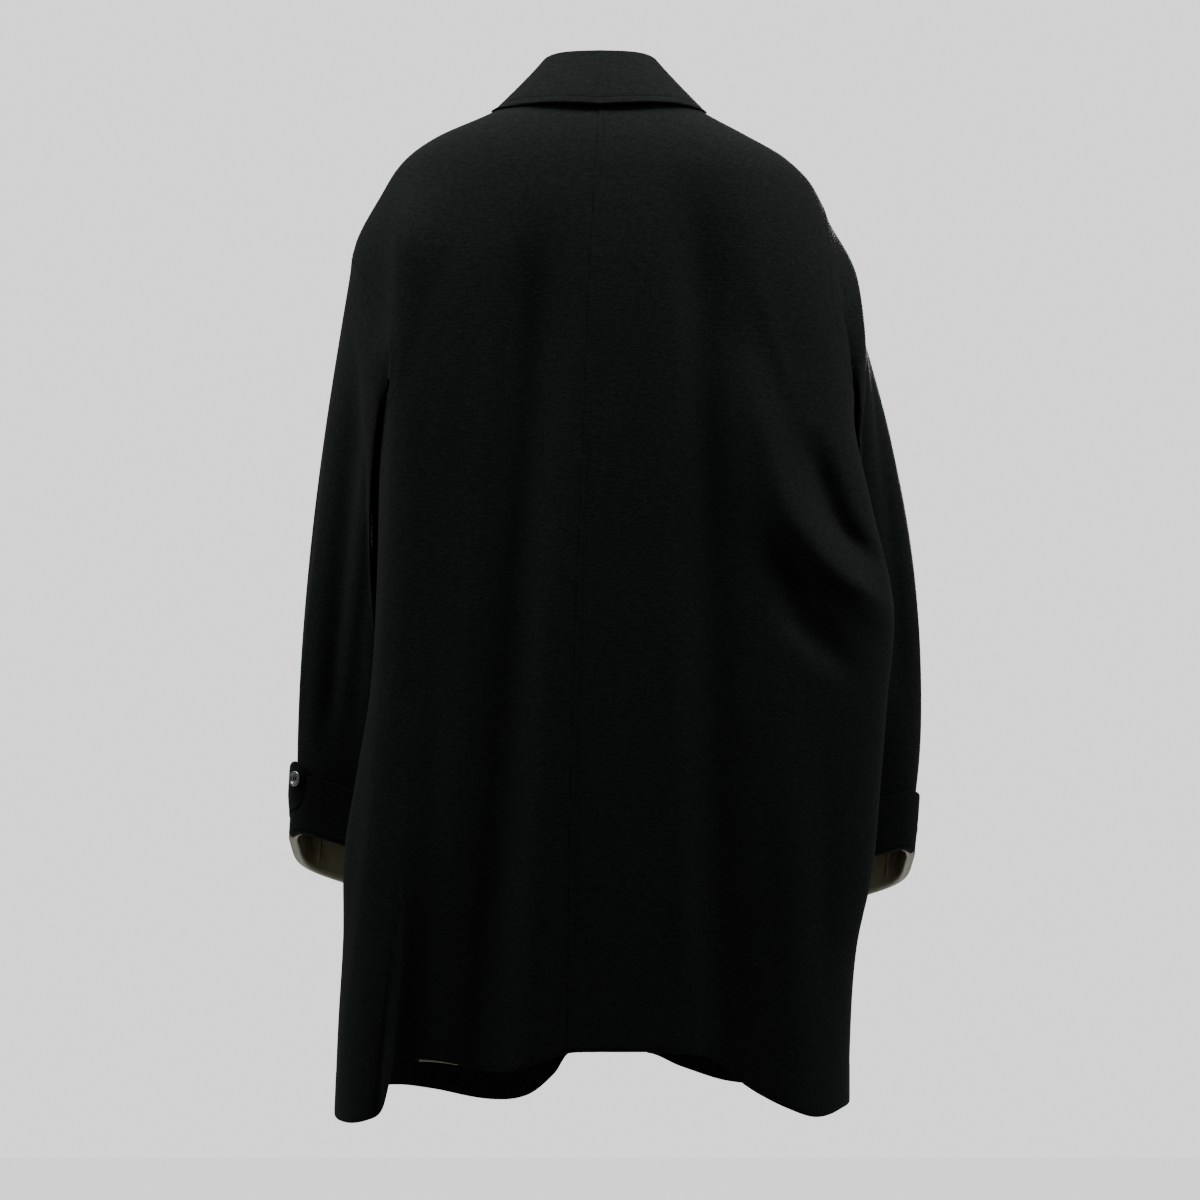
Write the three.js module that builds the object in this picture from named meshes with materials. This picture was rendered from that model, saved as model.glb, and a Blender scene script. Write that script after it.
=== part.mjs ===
// A thigh-length wool coat, filled out and open down the front, with nobody in it.
// Millimetres, +Z up, -Y the front of the coat, +X the wearer's left.
// The origin is on the centre plane, level with the back of the neck seam.
import * as THREE from 'three';

// Cloth and seams
const CLOTH = 2.2;
const SEAM_GAP = 0.3;
const HALF_GAP = SEAM_GAP / 2;
const LEFT = 1;
const RIGHT = -1;

// Depth of the body behind and in front of the shoulder seams, at each level
const BODY_DEPTH = [
  { z: 40, back: 30, front: 30 },
  { z: 17, back: 55, front: 50 },
  { z: 0, back: 72, front: 66 },
  { z: -20, back: 90, front: 82 },
  { z: -40, back: 103, front: 94 },
  { z: -62, back: 113, front: 104 },
  { z: -92, back: 121, front: 113 },
  { z: -157, back: 130, front: 124 },
  { z: -220, back: 134, front: 128 },
  { z: -300, back: 136, front: 131 },
  { z: -385, back: 138, front: 133 },
  { z: -480, back: 140, front: 135 },
  { z: -600, back: 143, front: 138 },
  { z: -680, back: 145, front: 140 },
  { z: -760, back: 147, front: 142 },
  { z: -840, back: 149, front: 144 },
  { z: -920, back: 150, front: 145 },
  { z: -1015, back: 151, front: 146 },
];

// Half width of each side of the body, at each level. square is how boxy the section is, and
// tuck how far the side is pushed in where the sleeve hangs beside it.
const BODY_SIDES = {
  [LEFT]: [
    { z: 40, half: 42, square: 2.2, tuck: 0 },
    { z: 17, half: 68, square: 2.3, tuck: 0 },
    { z: 0, half: 94, square: 2.4, tuck: 0 },
    { z: -20, half: 131, square: 2.5, tuck: 0 },
    { z: -40, half: 173, square: 2.6, tuck: 0 },
    { z: -62, half: 201, square: 2.7, tuck: 0 },
    { z: -92, half: 220, square: 2.8, tuck: 0 },
    { z: -157, half: 250, square: 2.9, tuck: 0 },
    { z: -220, half: 246, square: 3.0, tuck: 10 },
    { z: -300, half: 238, square: 3.2, tuck: 34 },
    { z: -385, half: 236, square: 3.2, tuck: 62 },
    { z: -480, half: 238, square: 3.2, tuck: 78 },
    { z: -600, half: 246, square: 3.1, tuck: 86 },
    { z: -680, half: 264, square: 3.0, tuck: 98 },
    { z: -760, half: 280, square: 2.9, tuck: 102 },
    { z: -840, half: 275, square: 2.8, tuck: 76 },
    { z: -920, half: 269, square: 2.8, tuck: 40 },
    { z: -1015, half: 262, square: 2.8, tuck: 12 },
  ],
  [RIGHT]: [
    { z: 40, half: 42, square: 2.2, tuck: 0 },
    { z: 17, half: 68, square: 2.3, tuck: 0 },
    { z: 0, half: 93, square: 2.4, tuck: 0 },
    { z: -20, half: 124, square: 2.5, tuck: 0 },
    { z: -40, half: 158, square: 2.6, tuck: 0 },
    { z: -62, half: 193, square: 2.7, tuck: 0 },
    { z: -92, half: 219, square: 2.8, tuck: 0 },
    { z: -157, half: 241, square: 2.9, tuck: 0 },
    { z: -232, half: 254, square: 3.0, tuck: 6 },
    { z: -300, half: 262, square: 3.0, tuck: 34 },
    { z: -345, half: 268, square: 3.0, tuck: 62 },
    { z: -420, half: 290, square: 3.0, tuck: 100 },
    { z: -520, half: 316, square: 3.0, tuck: 128 },
    { z: -615, half: 306, square: 3.0, tuck: 126 },
    { z: -690, half: 298, square: 2.9, tuck: 120 },
    { z: -775, half: 286, square: 2.8, tuck: 98 },
    { z: -850, half: 262, square: 2.8, tuck: 56 },
    { z: -940, half: 249, square: 2.8, tuck: 22 },
    { z: -1015, half: 245, square: 2.8, tuck: 8 },
  ],
};
// Where round the side the tuck lies, and how wide it is behind and in front, in degrees
const TUCK = {
  [LEFT]: { angle: -10, behind: 20, before: 26 },
  [RIGHT]: { angle: -10, behind: 16, before: 28 },
};

// Neck seam, from the centre back (90 degrees) round the shoulder (0) to the front (-90)
const NECK_LINE = [
  { at: -90, z: -80 },
  { at: -84, z: -74 },
  { at: -76, z: -52 },
  { at: -60, z: -16 },
  { at: -36, z: 6 },
  { at: 0, z: 17 },
  { at: 45, z: 10 },
  { at: 90, z: 0 },
];

// Hem, round the same angles
const HEM_LINE = {
  [LEFT]: [
    { at: -90, z: -948 },
    { at: -83, z: -954 },
    { at: -80, z: -974 },
    { at: -74, z: -996 },
    { at: -66, z: -1000 },
    { at: -53, z: -989 },
    { at: -40, z: -984 },
    { at: -10, z: -990 },
    { at: 14, z: -1006 },
    { at: 32, z: -1014 },
    { at: 41, z: -1011 },
    { at: 45, z: -1001 },
    { at: 49, z: -957 },
    { at: 54, z: -955 },
    { at: 59, z: -957 },
    { at: 67, z: -965 },
    { at: 73, z: -965 },
    { at: 80, z: -954 },
    { at: 84, z: -949 },
    { at: 90, z: -948 },
  ],
  [RIGHT]: [
    { at: -90, z: -950 },
    { at: -78, z: -954 },
    { at: -71, z: -967 },
    { at: -59, z: -982 },
    { at: -30, z: -988 },
    { at: 4, z: -993 },
    { at: 27, z: -1001 },
    { at: 41, z: -1009 },
    { at: 51, z: -998 },
    { at: 59, z: -980 },
    { at: 66, z: -955 },
    { at: 74, z: -949 },
    { at: 90, z: -948 },
  ],
};

// Centre-back seam, which wanders to the wearer's left on its way down
const BACK_SEAM = [
  { z: 0, x: 0 },
  { z: -190, x: 9.5 },
  { z: -340, x: 15 },
  { z: -510, x: 22 },
  { z: -660, x: 26.5 },
  { z: -800, x: 29 },
  { z: -945, x: 30 },
];

// Front edges: half the gap between the two fronts, at each level
const FRONT_EDGE = {
  [LEFT]: [
    { z: -1000, x: 29 },
    { z: -500, x: 20 },
    { z: -78, x: 12 },
  ],
  [RIGHT]: [
    { z: -1000, x: 50 },
    { z: -500, x: 34 },
    { z: -78, x: 16 },
  ],
};

// Armhole: its top, its lowest point, and how far it reaches to the back and to the front
const ARMHOLE = {
  [LEFT]: { topZ: -157, lowZ: -385, backReach: 44, frontReach: 46 },
  [RIGHT]: { topZ: -96, lowZ: -345, backReach: 32, frontReach: 46 },
};
const ARMHOLE_STEPS = 10;
// How far from the armhole a panel's columns and rows bend to it: higher keeps more of them straight
const ARMHOLE_PULL = { columns: 1.6, rows: 3 };

// Largest folds of the body. face 1 is the back and -1 the front, path is the crest or trough,
// inner and outer are its widths towards the middle and the side, out is its height.
const BODY_FOLDS = [
  {
    side: LEFT, face: 1, rise: 160, inner: 26, outer: 20, out: -12,
    path: [{ z: -110, x: 66 }, { z: -390, x: 84 }, { z: -610, x: 97 }, { z: -1000, x: 124 }],
  },
  {
    side: LEFT, face: 1, rise: 260, inner: 24, outer: 22, out: 6,
    path: [{ z: -300, x: 42 }, { z: -610, x: 52 }, { z: -1000, x: 72 }],
  },
  {
    side: LEFT, face: 1, rise: 110, inner: 34, outer: 13, out: 13,
    path: [{ z: -70, x: 194 }, { z: -300, x: 198 }, { z: -600, x: 211 }, { z: -760, x: 219 }, { z: -1000, x: 250 }],
  },
  {
    side: LEFT, face: 1, rise: 240, inner: 10, outer: 44, out: 24,
    path: [{ z: -690, x: 186 }, { z: -850, x: 198 }, { z: -1015, x: 214 }],
  },
  {
    side: RIGHT, face: 1, rise: 150, inner: 24, outer: 30, out: -13,
    path: [{ z: -70, x: 94 }, { z: -380, x: 110 }, { z: -1000, x: 116 }],
  },
  {
    side: RIGHT, face: 1, rise: 260, inner: 34, outer: 34, out: 8,
    path: [{ z: -480, x: 162 }, { z: -740, x: 172 }, { z: -1000, x: 190 }],
  },
  {
    side: RIGHT, face: 1, rise: 120, fall: 60, end: -560, inner: 30, outer: 24, out: 13,
    path: [{ z: -240, x: 130 }, { z: -400, x: 164 }, { z: -470, x: 204 }, { z: -520, x: 262 }],
  },
  {
    side: RIGHT, face: 1, rise: 70, fall: 50, end: -500, inner: 18, outer: 16, out: -15,
    path: [{ z: -340, x: 202 }, { z: -430, x: 226 }, { z: -480, x: 262 }],
  },
  {
    side: RIGHT, face: 1, rise: 80, fall: 70, end: -610, inner: 18, outer: 22, out: -10,
    path: [{ z: -440, x: 172 }, { z: -540, x: 194 }, { z: -600, x: 240 }],
  },
  {
    side: LEFT, face: -1, rise: 220, inner: 26, outer: 30, out: -10,
    path: [{ z: -220, x: 118 }, { z: -600, x: 132 }, { z: -1000, x: 150 }],
  },
  {
    side: RIGHT, face: -1, rise: 220, inner: 28, outer: 26, out: -9,
    path: [{ z: -260, x: 126 }, { z: -640, x: 148 }, { z: -1000, x: 160 }],
  },
];
const FOLD_DEPTH_START = 40;

// Sleeves: the ring at the cuff end of each, how its opening is tilted, and how far the sleeve
// bows out on the way down. backFull is how far its back edge is filled out below the armhole,
// and forward how soon it swings to the front.
const SLEEVE = {
  [LEFT]: {
    cuffX: 259, cuffY: -50, cuffZ: -762, halfX: 47, halfY: 60, leanX: 0.33, leanY: 0.28,
    slopeX: -0.05, slopeY: 0.04,
    bowOut: 12, bowBack: 10, bowIn: 3, backFull: 11, forward: 1.9,
  },
  [RIGHT]: {
    cuffX: 264, cuffY: -62, cuffZ: -776, halfX: 47, halfY: 60, leanX: 0.3, leanY: 0.28,
    slopeX: 0.1, slopeY: 0.04,
    bowOut: 38, bowBack: 10, bowIn: 0, backFull: 14, forward: 2.9,
  },
};
const SLEEVE_SQUARE = 3.0;
const SLEEVE_BOW_LOW = 1.15;
const SLEEVE_CLEAR = { under: 6, upper: 8, from: 0.1, edge: 115, blend: 45 };
const BACK_FULL = { at: 72, spread: 26, from: 0.1, to: 0.9 };
const SLEEVE_END = 62;
const SLEEVE_COLUMNS = 2 * ARMHOLE_STEPS;
const SLEEVE_ROWS = 10;
const SLEEVE_END_ROWS = 2;
const SLEEVE_START = 9.4;
const SLEEVE_START_ROWS = 2;
const UNDER_SLEEVE_FROM = 7;
const UNDER_SLEEVE_TO = 13;

// Soft folds down the sleeves: at is the place round the arm, in degrees from the outer side
const SLEEVE_FOLDS = [
  { side: LEFT, at: 62, drift: 22, from: 0.1, to: 1.0, spread: 16, out: -10 },
  { side: LEFT, at: 96, drift: 8, from: 0.2, to: 0.95, spread: 18, out: 8 },
  { side: LEFT, at: 330, drift: -12, from: 0.25, to: 0.9, spread: 20, out: -7 },
  { side: RIGHT, at: 58, drift: 10, from: 0.15, to: 0.9, spread: 18, out: -7 },
  { side: RIGHT, at: 318, drift: -10, from: 0.2, to: 0.9, spread: 20, out: -7 },
];

// Turn-up cuffs, their buttoned tabs and the lining that shows inside them.
// tab is the place of a tab's end round the arm, in columns from the outer side.
const CUFF = { lift: 0.9, wall: 3.6, height: 54, rows: 2 };
const CUFF_TAB = {
  lift: 0.3, wall: 2.6, middle: 43, halfWidth: 23, length: 5.4, columns: 12, rows: 4, round: 1.4,
  buttonFromEnd: 0.75, buttonUp: 5,
};
const CUFF_TAB_END = { [LEFT]: 3.6, [RIGHT]: -0.8 };
const CUFF_LINING = { gap: 0.3, wall: 1.0, from: 2.5, to: 58, rows: 2 };

// Buttons
const CUFF_BUTTON = { radius: 7.6, thick: 3.2 };
const FRONT_BUTTON = { radius: 11.5, thick: 4.2 };
const FRONT_BUTTON_LEVELS = [-190, -330, -470, -610];
const FRONT_BUTTON_INSET = 38;
const BUTTON_LIFT = 0.3;
const BUTTON_SEGMENTS = 16;

// Collar: a stand on the neck seam and a fall turned down over it. stand is the height of the
// roll line over the neck seam, fall the drop from there to the edge, spread how far the edge
// stands out from the neck seam, lean how far the roll line leans in over it.
const COLLAR = { wall: 2.6, lift: 0.6, backColumns: 10, standRows: 2, fallRows: 4, clear: 2.4 };
const COLLAR_SHAPE = [
  { at: -90, stand: 12, fall: 88, spread: 20, lean: 2 },
  { at: -76, stand: 15, fall: 84, spread: 26, lean: 3 },
  { at: -60, stand: 18, fall: 66, spread: 34, lean: 4 },
  { at: -36, stand: 15, fall: 44, spread: 42, lean: 5 },
  { at: 0, stand: 12, fall: 32, spread: 40, lean: 5 },
  { at: 20, stand: 18, fall: 42, spread: 40, lean: 7 },
  { at: 45, stand: 33, fall: 58, spread: 36, lean: 9 },
  { at: 90, stand: 43, fall: 64, spread: 24, lean: 11 },
];

// Lining edge that hangs out inside the back hem, on the wearer's left
const HEM_LINING = { fromTurn: 54, toTurn: 72, columns: 9, rows: 2, height: 32, drop: 3.2, wall: 1.0, gap: 1.2 };

// Grid sizes of the body panels
const YOKE_ROWS = 5;
const SKIRT_ROWS = 10;
const BACK_COLUMNS = 24;
const FRONT_COLUMNS = 11;
const PANEL_END_TURN = -84;

const WOOL = { color: 0x17191a, roughness: 0.95, metalness: 0 };
const WOOL_SLEEVE = { color: 0x191b1c, roughness: 0.95, metalness: 0 };
const OLIVE_LINING = { color: 0x5b5638, roughness: 0.5, metalness: 0 };
const DARK_HORN = { color: 0x2b2a2c, roughness: 0.3, metalness: 0 };

const { degToRad, radToDeg, clamp, lerp } = THREE.MathUtils;

function smooth(value) {
  const t = clamp(value, 0, 1);
  return t * t * (3 - 2 * t);
}

// A smooth curve through one column of a table, by the column that orders its rows.
function curve(rows, key, value) {
  const sorted = [...rows].sort((a, b) => a[key] - b[key]);
  const slope = (i) => {
    const a = sorted[Math.max(i - 1, 0)];
    const b = sorted[Math.min(i + 1, sorted.length - 1)];
    return (b[value] - a[value]) / (b[key] - a[key]);
  };
  return (at) => {
    const x = clamp(at, sorted[0][key], sorted[sorted.length - 1][key]);
    let i = 0;
    while (i < sorted.length - 2 && sorted[i + 1][key] < x) i += 1;
    const span = sorted[i + 1][key] - sorted[i][key];
    const t = (x - sorted[i][key]) / span;
    const t2 = t * t;
    const t3 = t2 * t;
    return (2 * t3 - 3 * t2 + 1) * sorted[i][value] + (t3 - 2 * t2 + t) * span * slope(i)
      + (3 * t2 - 2 * t3) * sorted[i + 1][value] + (t3 - t2) * span * slope(i + 1);
  };
}

function sideCurves(side) {
  const made = { back: curve(BODY_DEPTH, 'z', 'back'), front: curve(BODY_DEPTH, 'z', 'front') };
  for (const column of ['half', 'square', 'tuck']) {
    made[column] = curve(BODY_SIDES[side], 'z', column);
  }
  return made;
}

const levels = { [LEFT]: sideCurves(LEFT), [RIGHT]: sideCurves(RIGHT) };
const neckLine = curve(NECK_LINE, 'at', 'z');
const hemLine = {
  [LEFT]: curve(HEM_LINE[LEFT], 'at', 'z'),
  [RIGHT]: curve(HEM_LINE[RIGHT], 'at', 'z'),
};
const frontEdge = {
  [LEFT]: curve(FRONT_EDGE[LEFT], 'z', 'x'),
  [RIGHT]: curve(FRONT_EDGE[RIGHT], 'z', 'x'),
};
const backSeam = curve(BACK_SEAM, 'z', 'x');
const bodyFolds = BODY_FOLDS.map((fold) => ({ ...fold, across: curve(fold.path, 'z', 'x') }));
const collarShape = {};
for (const column of ['stand', 'fall', 'spread', 'lean']) {
  collarShape[column] = curve(COLLAR_SHAPE, 'at', column);
}

// How far the folds move the cloth out at one point of the body.
function foldHeight(side, x, y, z) {
  let height = 0;
  for (const fold of bodyFolds) {
    if (fold.side !== side || fold.face !== Math.sign(y)) continue;
    const off = x - fold.across(z);
    const width = off < 0 ? fold.inner : fold.outer;
    const grown = smooth((fold.path[0].z - z) / fold.rise);
    const ended = fold.end === undefined ? 1 : 1 - smooth((fold.end + fold.fall - z) / fold.fall);
    height += fold.out * grown * ended * Math.exp(-((off / width) ** 2));
  }
  return height * smooth(Math.abs(y) / FOLD_DEPTH_START);
}

// A point of the body's outer surface at a level, in the direction of an angle from the side.
function bodyPointAt(side, angle, z) {
  const level = levels[side];
  const half = level.half(z);
  const depth = angle >= 0 ? level.back(z) : level.front(z);
  const square = level.square(z);
  const cx = Math.abs(Math.cos(angle) / half) ** square;
  const cy = Math.abs(Math.sin(angle) / depth) ** square;
  const off = radToDeg(angle) - TUCK[side].angle;
  const spread = off > 0 ? TUCK[side].behind : TUCK[side].before;
  const radius = (cx + cy) ** (-1 / square) - level.tuck(z) * Math.exp(-((off / spread) ** 2));
  const x = radius * Math.cos(angle);
  const y = radius * Math.sin(angle);
  const out = foldHeight(side, x, y, z);
  return new THREE.Vector3(side * x, y + Math.sign(y) * out, z);
}

// The same by turn: 90 at the centre back, 0 at the side and -90 in front, evenly round.
// A turn of more than 90 goes past the centre back, onto the other side.
function bodyPoint(side, turn, z) {
  if (turn > 90) return bodyPoint(-side, 180 - turn, z);
  const depth = turn >= 0 ? levels[side].back(z) : levels[side].front(z);
  const w = degToRad(turn);
  return bodyPointAt(side, Math.atan2(depth * Math.sin(w), levels[side].half(z) * Math.cos(w)), z);
}

// Moves a point out, level, until it is clear of the cloth of the body.
function keepClear(side, point, clearance) {
  const angle = Math.atan2(point.y, side * point.x);
  const cloth = bodyPointAt(side, angle, point.z);
  const least = Math.hypot(cloth.x, cloth.y) + clearance;
  const radius = Math.hypot(point.x, point.y);
  if (radius < least) {
    point.x *= least / radius;
    point.y *= least / radius;
  }
  return point;
}

function bodyNormal(side, turn, z) {
  const dTurn = 0.4;
  const dZ = 1.5;
  const across = bodyPoint(side, turn + dTurn, z).sub(bodyPoint(side, turn - dTurn, z));
  const up = bodyPoint(side, turn, z + dZ).sub(bodyPoint(side, turn, z - dZ));
  const normal = across.cross(up).normalize();
  const outward = bodyPoint(side, turn, z).setZ(0);
  return normal.dot(outward) < 0 ? normal.negate() : normal;
}

// The turn at which the front ends at a level, so that its edge hangs where the table says.
function frontEdgeTurn(side, z) {
  let low = -90;
  let high = -60;
  for (let i = 0; i < 24; i += 1) {
    const middle = (low + high) / 2;
    if (Math.abs(bodyPoint(side, middle, z).x) < frontEdge[side](z)) low = middle;
    else high = middle;
  }
  return (low + high) / 2;
}

// The turn at which a back starts at a level, on the centre-back seam.
function backSeamTurn(side, z) {
  const off = radToDeg(Math.atan2(backSeam(z), levels[LEFT].half(z)));
  return 90 - side * off;
}

function hemLevel(side, turn) {
  return turn > 90 ? hemLine[-side](180 - turn) : hemLine[side](turn);
}

// The armhole, as a level and a turn for each step round it, from its top by the back.
function armholeStep(side, step) {
  const hole = ARMHOLE[side];
  const angle = (2 * Math.PI * step) / (2 * ARMHOLE_STEPS);
  const reach = Math.sin(angle) >= 0 ? hole.backReach : hole.frontReach;
  return {
    z: lerp(hole.topZ, hole.lowZ, (1 - Math.cos(angle)) / 2),
    turn: reach * Math.sin(angle),
  };
}

// Levels and end turns of every row of a body panel, from the neck seam to the hem.
function panelRows(side, face) {
  const rows = [];
  const hole = ARMHOLE[side];
  for (let i = 0; i < YOKE_ROWS; i += 1) {
    const t = i / YOKE_ROWS;
    rows.push({ level: (turn) => lerp(neckLine(turn), hole.topZ, t), end: 0 });
  }
  for (let i = 0; i <= ARMHOLE_STEPS; i += 1) {
    const step = armholeStep(side, face * i);
    const even = lerp(hole.topZ, hole.lowZ, i / ARMHOLE_STEPS);
    const span = 90 - Math.abs(step.turn);
    const near = (turn) => (Math.max(90 - Math.abs(turn), 0) / span) ** ARMHOLE_PULL.rows;
    rows.push({ level: (turn) => lerp(even, step.z, near(turn)), end: step.turn });
  }
  for (let i = 1; i <= SKIRT_ROWS; i += 1) {
    const t = i / SKIRT_ROWS;
    rows.push({ level: (turn) => lerp(hole.lowZ, hemLevel(side, turn), t), end: 0 });
  }
  return rows;
}

// Moves the first or the last column of a grid inwards, to leave half a seam gap.
function trim(points, border) {
  for (const row of points) {
    const last = row.length - 1;
    const [from, to] = border === 'first' ? [row[0], row[1]] : [row[last], row[last - 1]];
    const step = to.clone().sub(from);
    from.addScaledVector(step, HALF_GAP / step.length());
  }
}

// A closed wall between an outer and an inner grid; ring joins its last column to its first.
function wallGeometry(outer, inner, ring = false) {
  const rows = outer.length;
  const columns = outer[0].length;
  const positions = [];
  for (const grid of [outer, inner]) {
    for (const row of grid) for (const point of row) positions.push(point.x, point.y, point.z);
  }
  const id = (layer, i, j) => layer * rows * columns + i * columns + (j % columns);
  const faces = [];
  const quad = (a, b, c, d) => faces.push(a, b, c, a, c, d);
  const spans = ring ? columns : columns - 1;
  for (let i = 0; i < rows - 1; i += 1) {
    for (let j = 0; j < spans; j += 1) {
      quad(id(0, i, j), id(0, i, j + 1), id(0, i + 1, j + 1), id(0, i + 1, j));
      quad(id(1, i, j), id(1, i + 1, j), id(1, i + 1, j + 1), id(1, i, j + 1));
    }
    if (!ring) {
      quad(id(0, i, 0), id(0, i + 1, 0), id(1, i + 1, 0), id(1, i, 0));
      quad(id(0, i, spans), id(1, i, spans), id(1, i + 1, spans), id(0, i + 1, spans));
    }
  }
  for (let j = 0; j < spans; j += 1) {
    quad(id(0, 0, j), id(1, 0, j), id(1, 0, j + 1), id(0, 0, j + 1));
    quad(id(0, rows - 1, j), id(0, rows - 1, j + 1), id(1, rows - 1, j + 1), id(1, rows - 1, j));
  }
  let volume = 0;
  const a = new THREE.Vector3();
  const b = new THREE.Vector3();
  const c = new THREE.Vector3();
  for (let f = 0; f < faces.length; f += 3) {
    a.fromArray(positions, faces[f] * 3);
    b.fromArray(positions, faces[f + 1] * 3);
    c.fromArray(positions, faces[f + 2] * 3);
    volume += a.dot(b.cross(c));
  }
  if (volume < 0) faces.reverse();
  const geometry = new THREE.BufferGeometry();
  geometry.setAttribute('position', new THREE.Float32BufferAttribute(positions, 3));
  geometry.setIndex(faces);
  geometry.computeVertexNormals();
  return geometry;
}

function piece(name, geometry, finish) {
  const mesh = new THREE.Mesh(geometry, new THREE.MeshStandardMaterial(finish));
  mesh.name = name;
  return mesh;
}

// The turn of a front panel's column at a level, counted from its edge.
function frontTurn(side, column, z) {
  return lerp(frontEdgeTurn(side, z), 0, column / FRONT_COLUMNS);
}

// A body panel: face 1 is a back, from the centre-back seam, and -1 a front, from its edge.
function bodyPanel(name, side, face) {
  const columns = face > 0 ? BACK_COLUMNS : FRONT_COLUMNS;
  const outer = [];
  const inner = [];
  for (const row of panelRows(side, face)) {
    const outerRow = [];
    const innerRow = [];
    for (let j = 0; j <= columns; j += 1) {
      const start = face > 0 ? backSeamTurn(side, row.level(90))
        : frontEdgeTurn(side, row.level(PANEL_END_TURN));
      const turn = lerp(start, 0, j / columns) + row.end * (j / columns) ** ARMHOLE_PULL.columns;
      const z = row.level(turn);
      const point = bodyPoint(side, turn, z);
      outerRow.push(point);
      innerRow.push(point.clone().addScaledVector(bodyNormal(side, turn, z), -CLOTH));
    }
    outer.push(outerRow);
    inner.push(innerRow);
  }
  for (const grid of [outer, inner]) {
    if (face > 0) trim(grid, 'first');
    trim(grid, 'last');
  }
  return piece(name, wallGeometry(outer, inner), WOOL);
}

// A point of the ring at the end of a sleeve; grow moves it out, up moves it up the arm.
function sleeveRingPoint(side, column, grow, up) {
  const sleeve = SLEEVE[side];
  const angle = (2 * Math.PI * column) / SLEEVE_COLUMNS;
  const round = (value) => Math.sign(value) * Math.abs(value) ** (2 / SLEEVE_SQUARE);
  const x = round(Math.cos(angle)) * (sleeve.halfX + grow);
  const y = round(Math.sin(angle)) * (sleeve.halfY + grow);
  return new THREE.Vector3(
    side * (sleeve.cuffX + x + up * sleeve.slopeX),
    sleeve.cuffY + y + up * sleeve.slopeY,
    sleeve.cuffZ + x * sleeve.leanX + y * sleeve.leanY + up,
  );
}

function sleeveFoldHeight(side, column, t) {
  let height = 0;
  const at = (360 * column) / SLEEVE_COLUMNS;
  for (const fold of SLEEVE_FOLDS) {
    if (fold.side !== side) continue;
    const off = ((at - fold.at - fold.drift * t + 540) % 360) - 180;
    const along = smooth((t - fold.from) / 0.2) * (1 - smooth((t - fold.to + 0.2) / 0.2));
    height += fold.out * along * Math.exp(-((off / fold.spread) ** 2));
  }
  return height;
}

// Where a sleeve leaves the armhole: the point on the seam, the way out of it and the bend
// that turns the cloth from there down the arm.
function sleeveStart(side, column) {
  const step = armholeStep(side, column);
  const before = armholeStep(side, column - 0.5);
  const after = armholeStep(side, column + 0.5);
  const point = bodyPoint(side, step.turn, step.z);
  const normal = bodyNormal(side, step.turn, step.z);
  const along = bodyPoint(side, after.turn, after.z).sub(bodyPoint(side, before.turn, before.z));
  along.normalize();
  const away = along.clone().cross(normal).normalize().multiplyScalar(side);
  const ring = sleeveRingPoint(side, column, 0, SLEEVE_END);
  const heading = ring.clone().sub(point);
  heading.addScaledVector(along, -heading.dot(along));
  const bend = Math.max(Math.atan2(heading.dot(normal), heading.dot(away)), 0.02);
  return { point, normal, away, bend, ring };
}

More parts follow.
